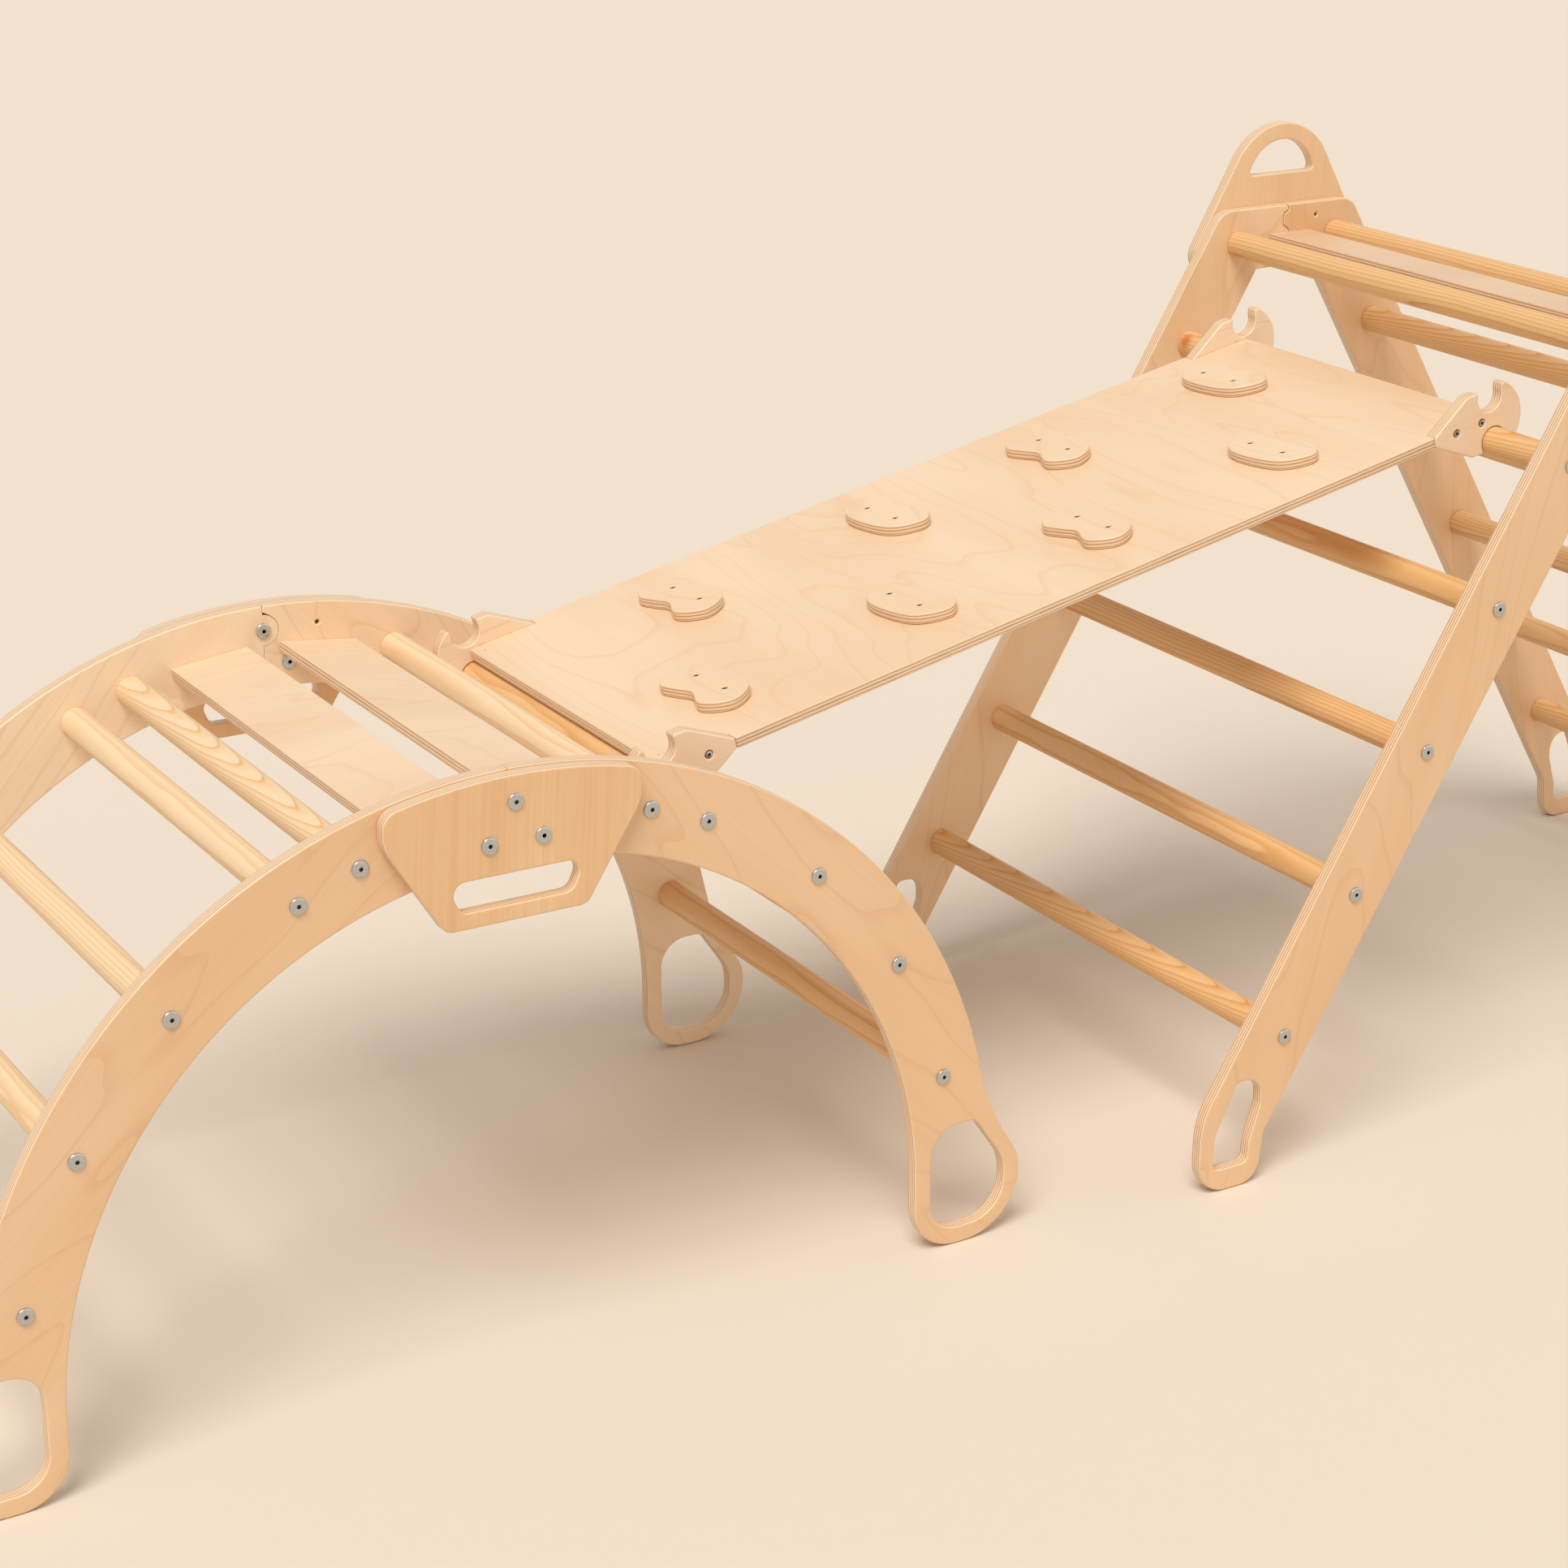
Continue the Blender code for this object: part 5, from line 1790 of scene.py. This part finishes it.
    def build_hooks(self) -> None:
        """Builds the four hooks with their screws."""
        finish = BirchPlywood(
            "birch_hook", SheetFrame(tuple(self.start), tuple(self.along)), self.half_width - PLY / 2.0,
            **HOOK_TONES,
        ).build()
        ends = (("low", 0.0, -1, self.low_nose), ("high", self.span, 1, self.high_nose))
        for label, start, facing, nose in ends:
            points = [(start + facing * s, self.rise + t) for s, t in self.hook_outline(nose)]
            screws = [(start - facing * back, self.rise) for back in self.hook_screws]
            holes = [round_hole(screw, self.hook_hole, 18.0) for screw in screws]
            for side in Side:
                mesh = sheet_mesh(points, holes, side.layer(self.half_width), self.hook_round)
                seat = side.value * (self.half_width - self.hook_screw_sink)
                for screw in screws:
                    add_screw(mesh, screw, seat, side.value, self.hook_screw_radius, 1)
                slots = [finish, *self.finishes.bolt]
                make_piece(f"ramp_hook_{label}_{side.label}", self.stand(mesh), slots, "ramp")

    def build_holds(self, seat: float) -> None:
        """Builds the eight holds with their countersunk screws.

        Args:
            seat: The height t that they sit at.
        """
        slots = self.flat_slots("birch_hold", seat + THIN_PLY / 2.0)
        top = seat + THIN_PLY
        front = [(share, -self.row_y) for share in self.front_shares]
        back = [(share, self.row_y) for share in self.back_shares]
        for number, (share, row) in enumerate(front + back, 1):
            facing = 1 if number % 2 == 1 else -1
            s = self.span * share
            screws = [(s + facing * a, row + facing * b) for a, b in self.hold_screws]
            holes = [round_hole(screw, self.hold_hole, SMALL_HOLE_DEG) for screw in screws]
            mesh = sheet_mesh(self.hold_outline(s, row, facing), holes, (seat, top), self.hold_round)
            for screw in screws:
                add_screw(mesh, screw, top - self.hold_screw_sink, 1, self.hold_screw_radius, 1)
            make_piece(f"ramp_hold_{number}", self.lay(mesh), slots, "ramp")


@dataclass(frozen=True)
class Lamp:
    """A lamp so far away that it lights the whole floor evenly.

    Its softness is the angle in degrees that it fills, and its power is in watts a square metre.
    """

    name: str
    toward: Triple
    softness: float
    power: float
    colour: str

    def build(self) -> None:
        """Hangs the lamp."""
        data = bpy.data.lights.new(self.name, "SUN")
        data.angle = math.radians(self.softness)
        data.energy = self.power
        data.color = linear(self.colour)[:3]
        lamp = bpy.data.objects.new(self.name, data)
        lamp.rotation_euler = Vector(self.toward).to_track_quat("Z", "Y").to_euler()
        bpy.context.scene.collection.objects.link(lamp)


@dataclass
class Studio:
    """The floor, the lights and the camera, which stands where the photograph was taken from."""

    floor_reach: float = 14.0
    floor_drop: float = 0.0005
    lamps: tuple[Lamp, ...] = (
        Lamp("key", (-0.4, -0.36, 0.85), 30.0, 2.25, "FFFAF3"),
        Lamp("fill", (0.7, -0.5, 0.5), 60.0, 0.25, "FFF6EC"),
    )
    air_colour: str = "FFF7EE"
    air_strength: float = 0.46
    backdrop_colour: str = "EFE8DE"
    eye: Triple = (-1.96563, -2.88192, 1.67184)
    right: Triple = (0.8560, -0.5169, 0.0050)
    down: Triple = (-0.1725, -0.2946, -0.9399)
    ahead: Triple = (0.48724, 0.80378, -0.34138)
    lens: float = 77.07
    sensor: float = 36.0
    shift: Point = (-0.00668, -0.01439)
    clip: Point = (0.05, 60.0)

    def build(self) -> None:
        """Builds the studio and keeps colours as they are written."""
        self.build_floor()
        for lamp in self.lamps:
            lamp.build()
        self.build_air()
        self.build_camera()
        bpy.context.scene.view_settings.view_transform = "Standard"

    def build_floor(self) -> None:
        """Lays flat pale paper under the set."""
        mesh = bmesh.new()
        bmesh.ops.create_grid(mesh, x_segments=1, y_segments=1, size=self.floor_reach)
        data = bpy.data.meshes.new("floor")
        mesh.to_mesh(data)
        mesh.free()
        data.materials.append(StudioPaper().build())
        floor = bpy.data.objects.new("floor", data)
        floor.location = (0.0, 0.0, -self.floor_drop)
        bpy.context.scene.collection.objects.link(floor)

    def build_air(self) -> None:
        """Lights the set evenly from all round, and shows the camera and the metal a pale backdrop."""
        world = bpy.data.worlds.new("studio_air")
        world.use_nodes = True
        tree = world.node_tree
        lit = tree.nodes["Background"]
        lit.inputs["Color"].default_value = linear(self.air_colour)
        lit.inputs["Strength"].default_value = self.air_strength
        shown = add_node(tree, "Background", {"Color": linear(self.backdrop_colour), "Strength": 1.0})
        path = add_node(tree, "LightPath")
        seen = add_node(tree, "Math", {
            0: path.outputs["Is Camera Ray"], 1: path.outputs["Is Glossy Ray"],
        }, operation="MAXIMUM").outputs[0]
        mix = add_node(tree, "MixShader", {
            0: seen, 1: lit.outputs["Background"], 2: shown.outputs["Background"],
        })
        tree.links.new(mix.outputs["Shader"], tree.nodes["World Output"].inputs["Surface"])
        bpy.context.scene.world = world

    def build_camera(self) -> None:
        """Puts the camera in its place."""
        data = bpy.data.cameras.new("camera")
        data.lens = self.lens
        data.sensor_width = self.sensor
        data.shift_x, data.shift_y = self.shift
        data.clip_start, data.clip_end = self.clip
        camera = bpy.data.objects.new("camera", data)
        turn = Matrix((Vector(self.right), -Vector(self.down), -Vector(self.ahead))).transposed()
        camera.matrix_world = Matrix.Translation(Vector(self.eye)) @ turn.to_4x4()
        bpy.context.scene.collection.objects.link(camera)
        bpy.context.scene.camera = camera


def main() -> None:
    """Builds the arch, the triangle, the ramp that hangs between two of their rungs, and the studio."""
    logging.basicConfig(level=logging.INFO, format="%(message)s")
    finishes = Finishes(
        ZincSteel().build(),
        # Recesses get the same steel painted darker and duller, as painted shade.
        ZincSteel("steel_recess_painted_shade", "6E7277", "34373B", 0.5).build(),
        ZincSteel("yellow_zinc_steel", "B39455", "7A6435", 0.35).build(),
    )
    arch = Arch(finishes)
    arch.build()
    triangle = Triangle(finishes)
    triangle.build()
    low = arch.rung_centre(End.RIGHT, arch.ramp_rung)
    high = triangle.rung_centre(End.LEFT, triangle.ramp_rung)
    Ramp(finishes, low, high).build()
    Studio().build()


if __name__ == "__main__":
    main()
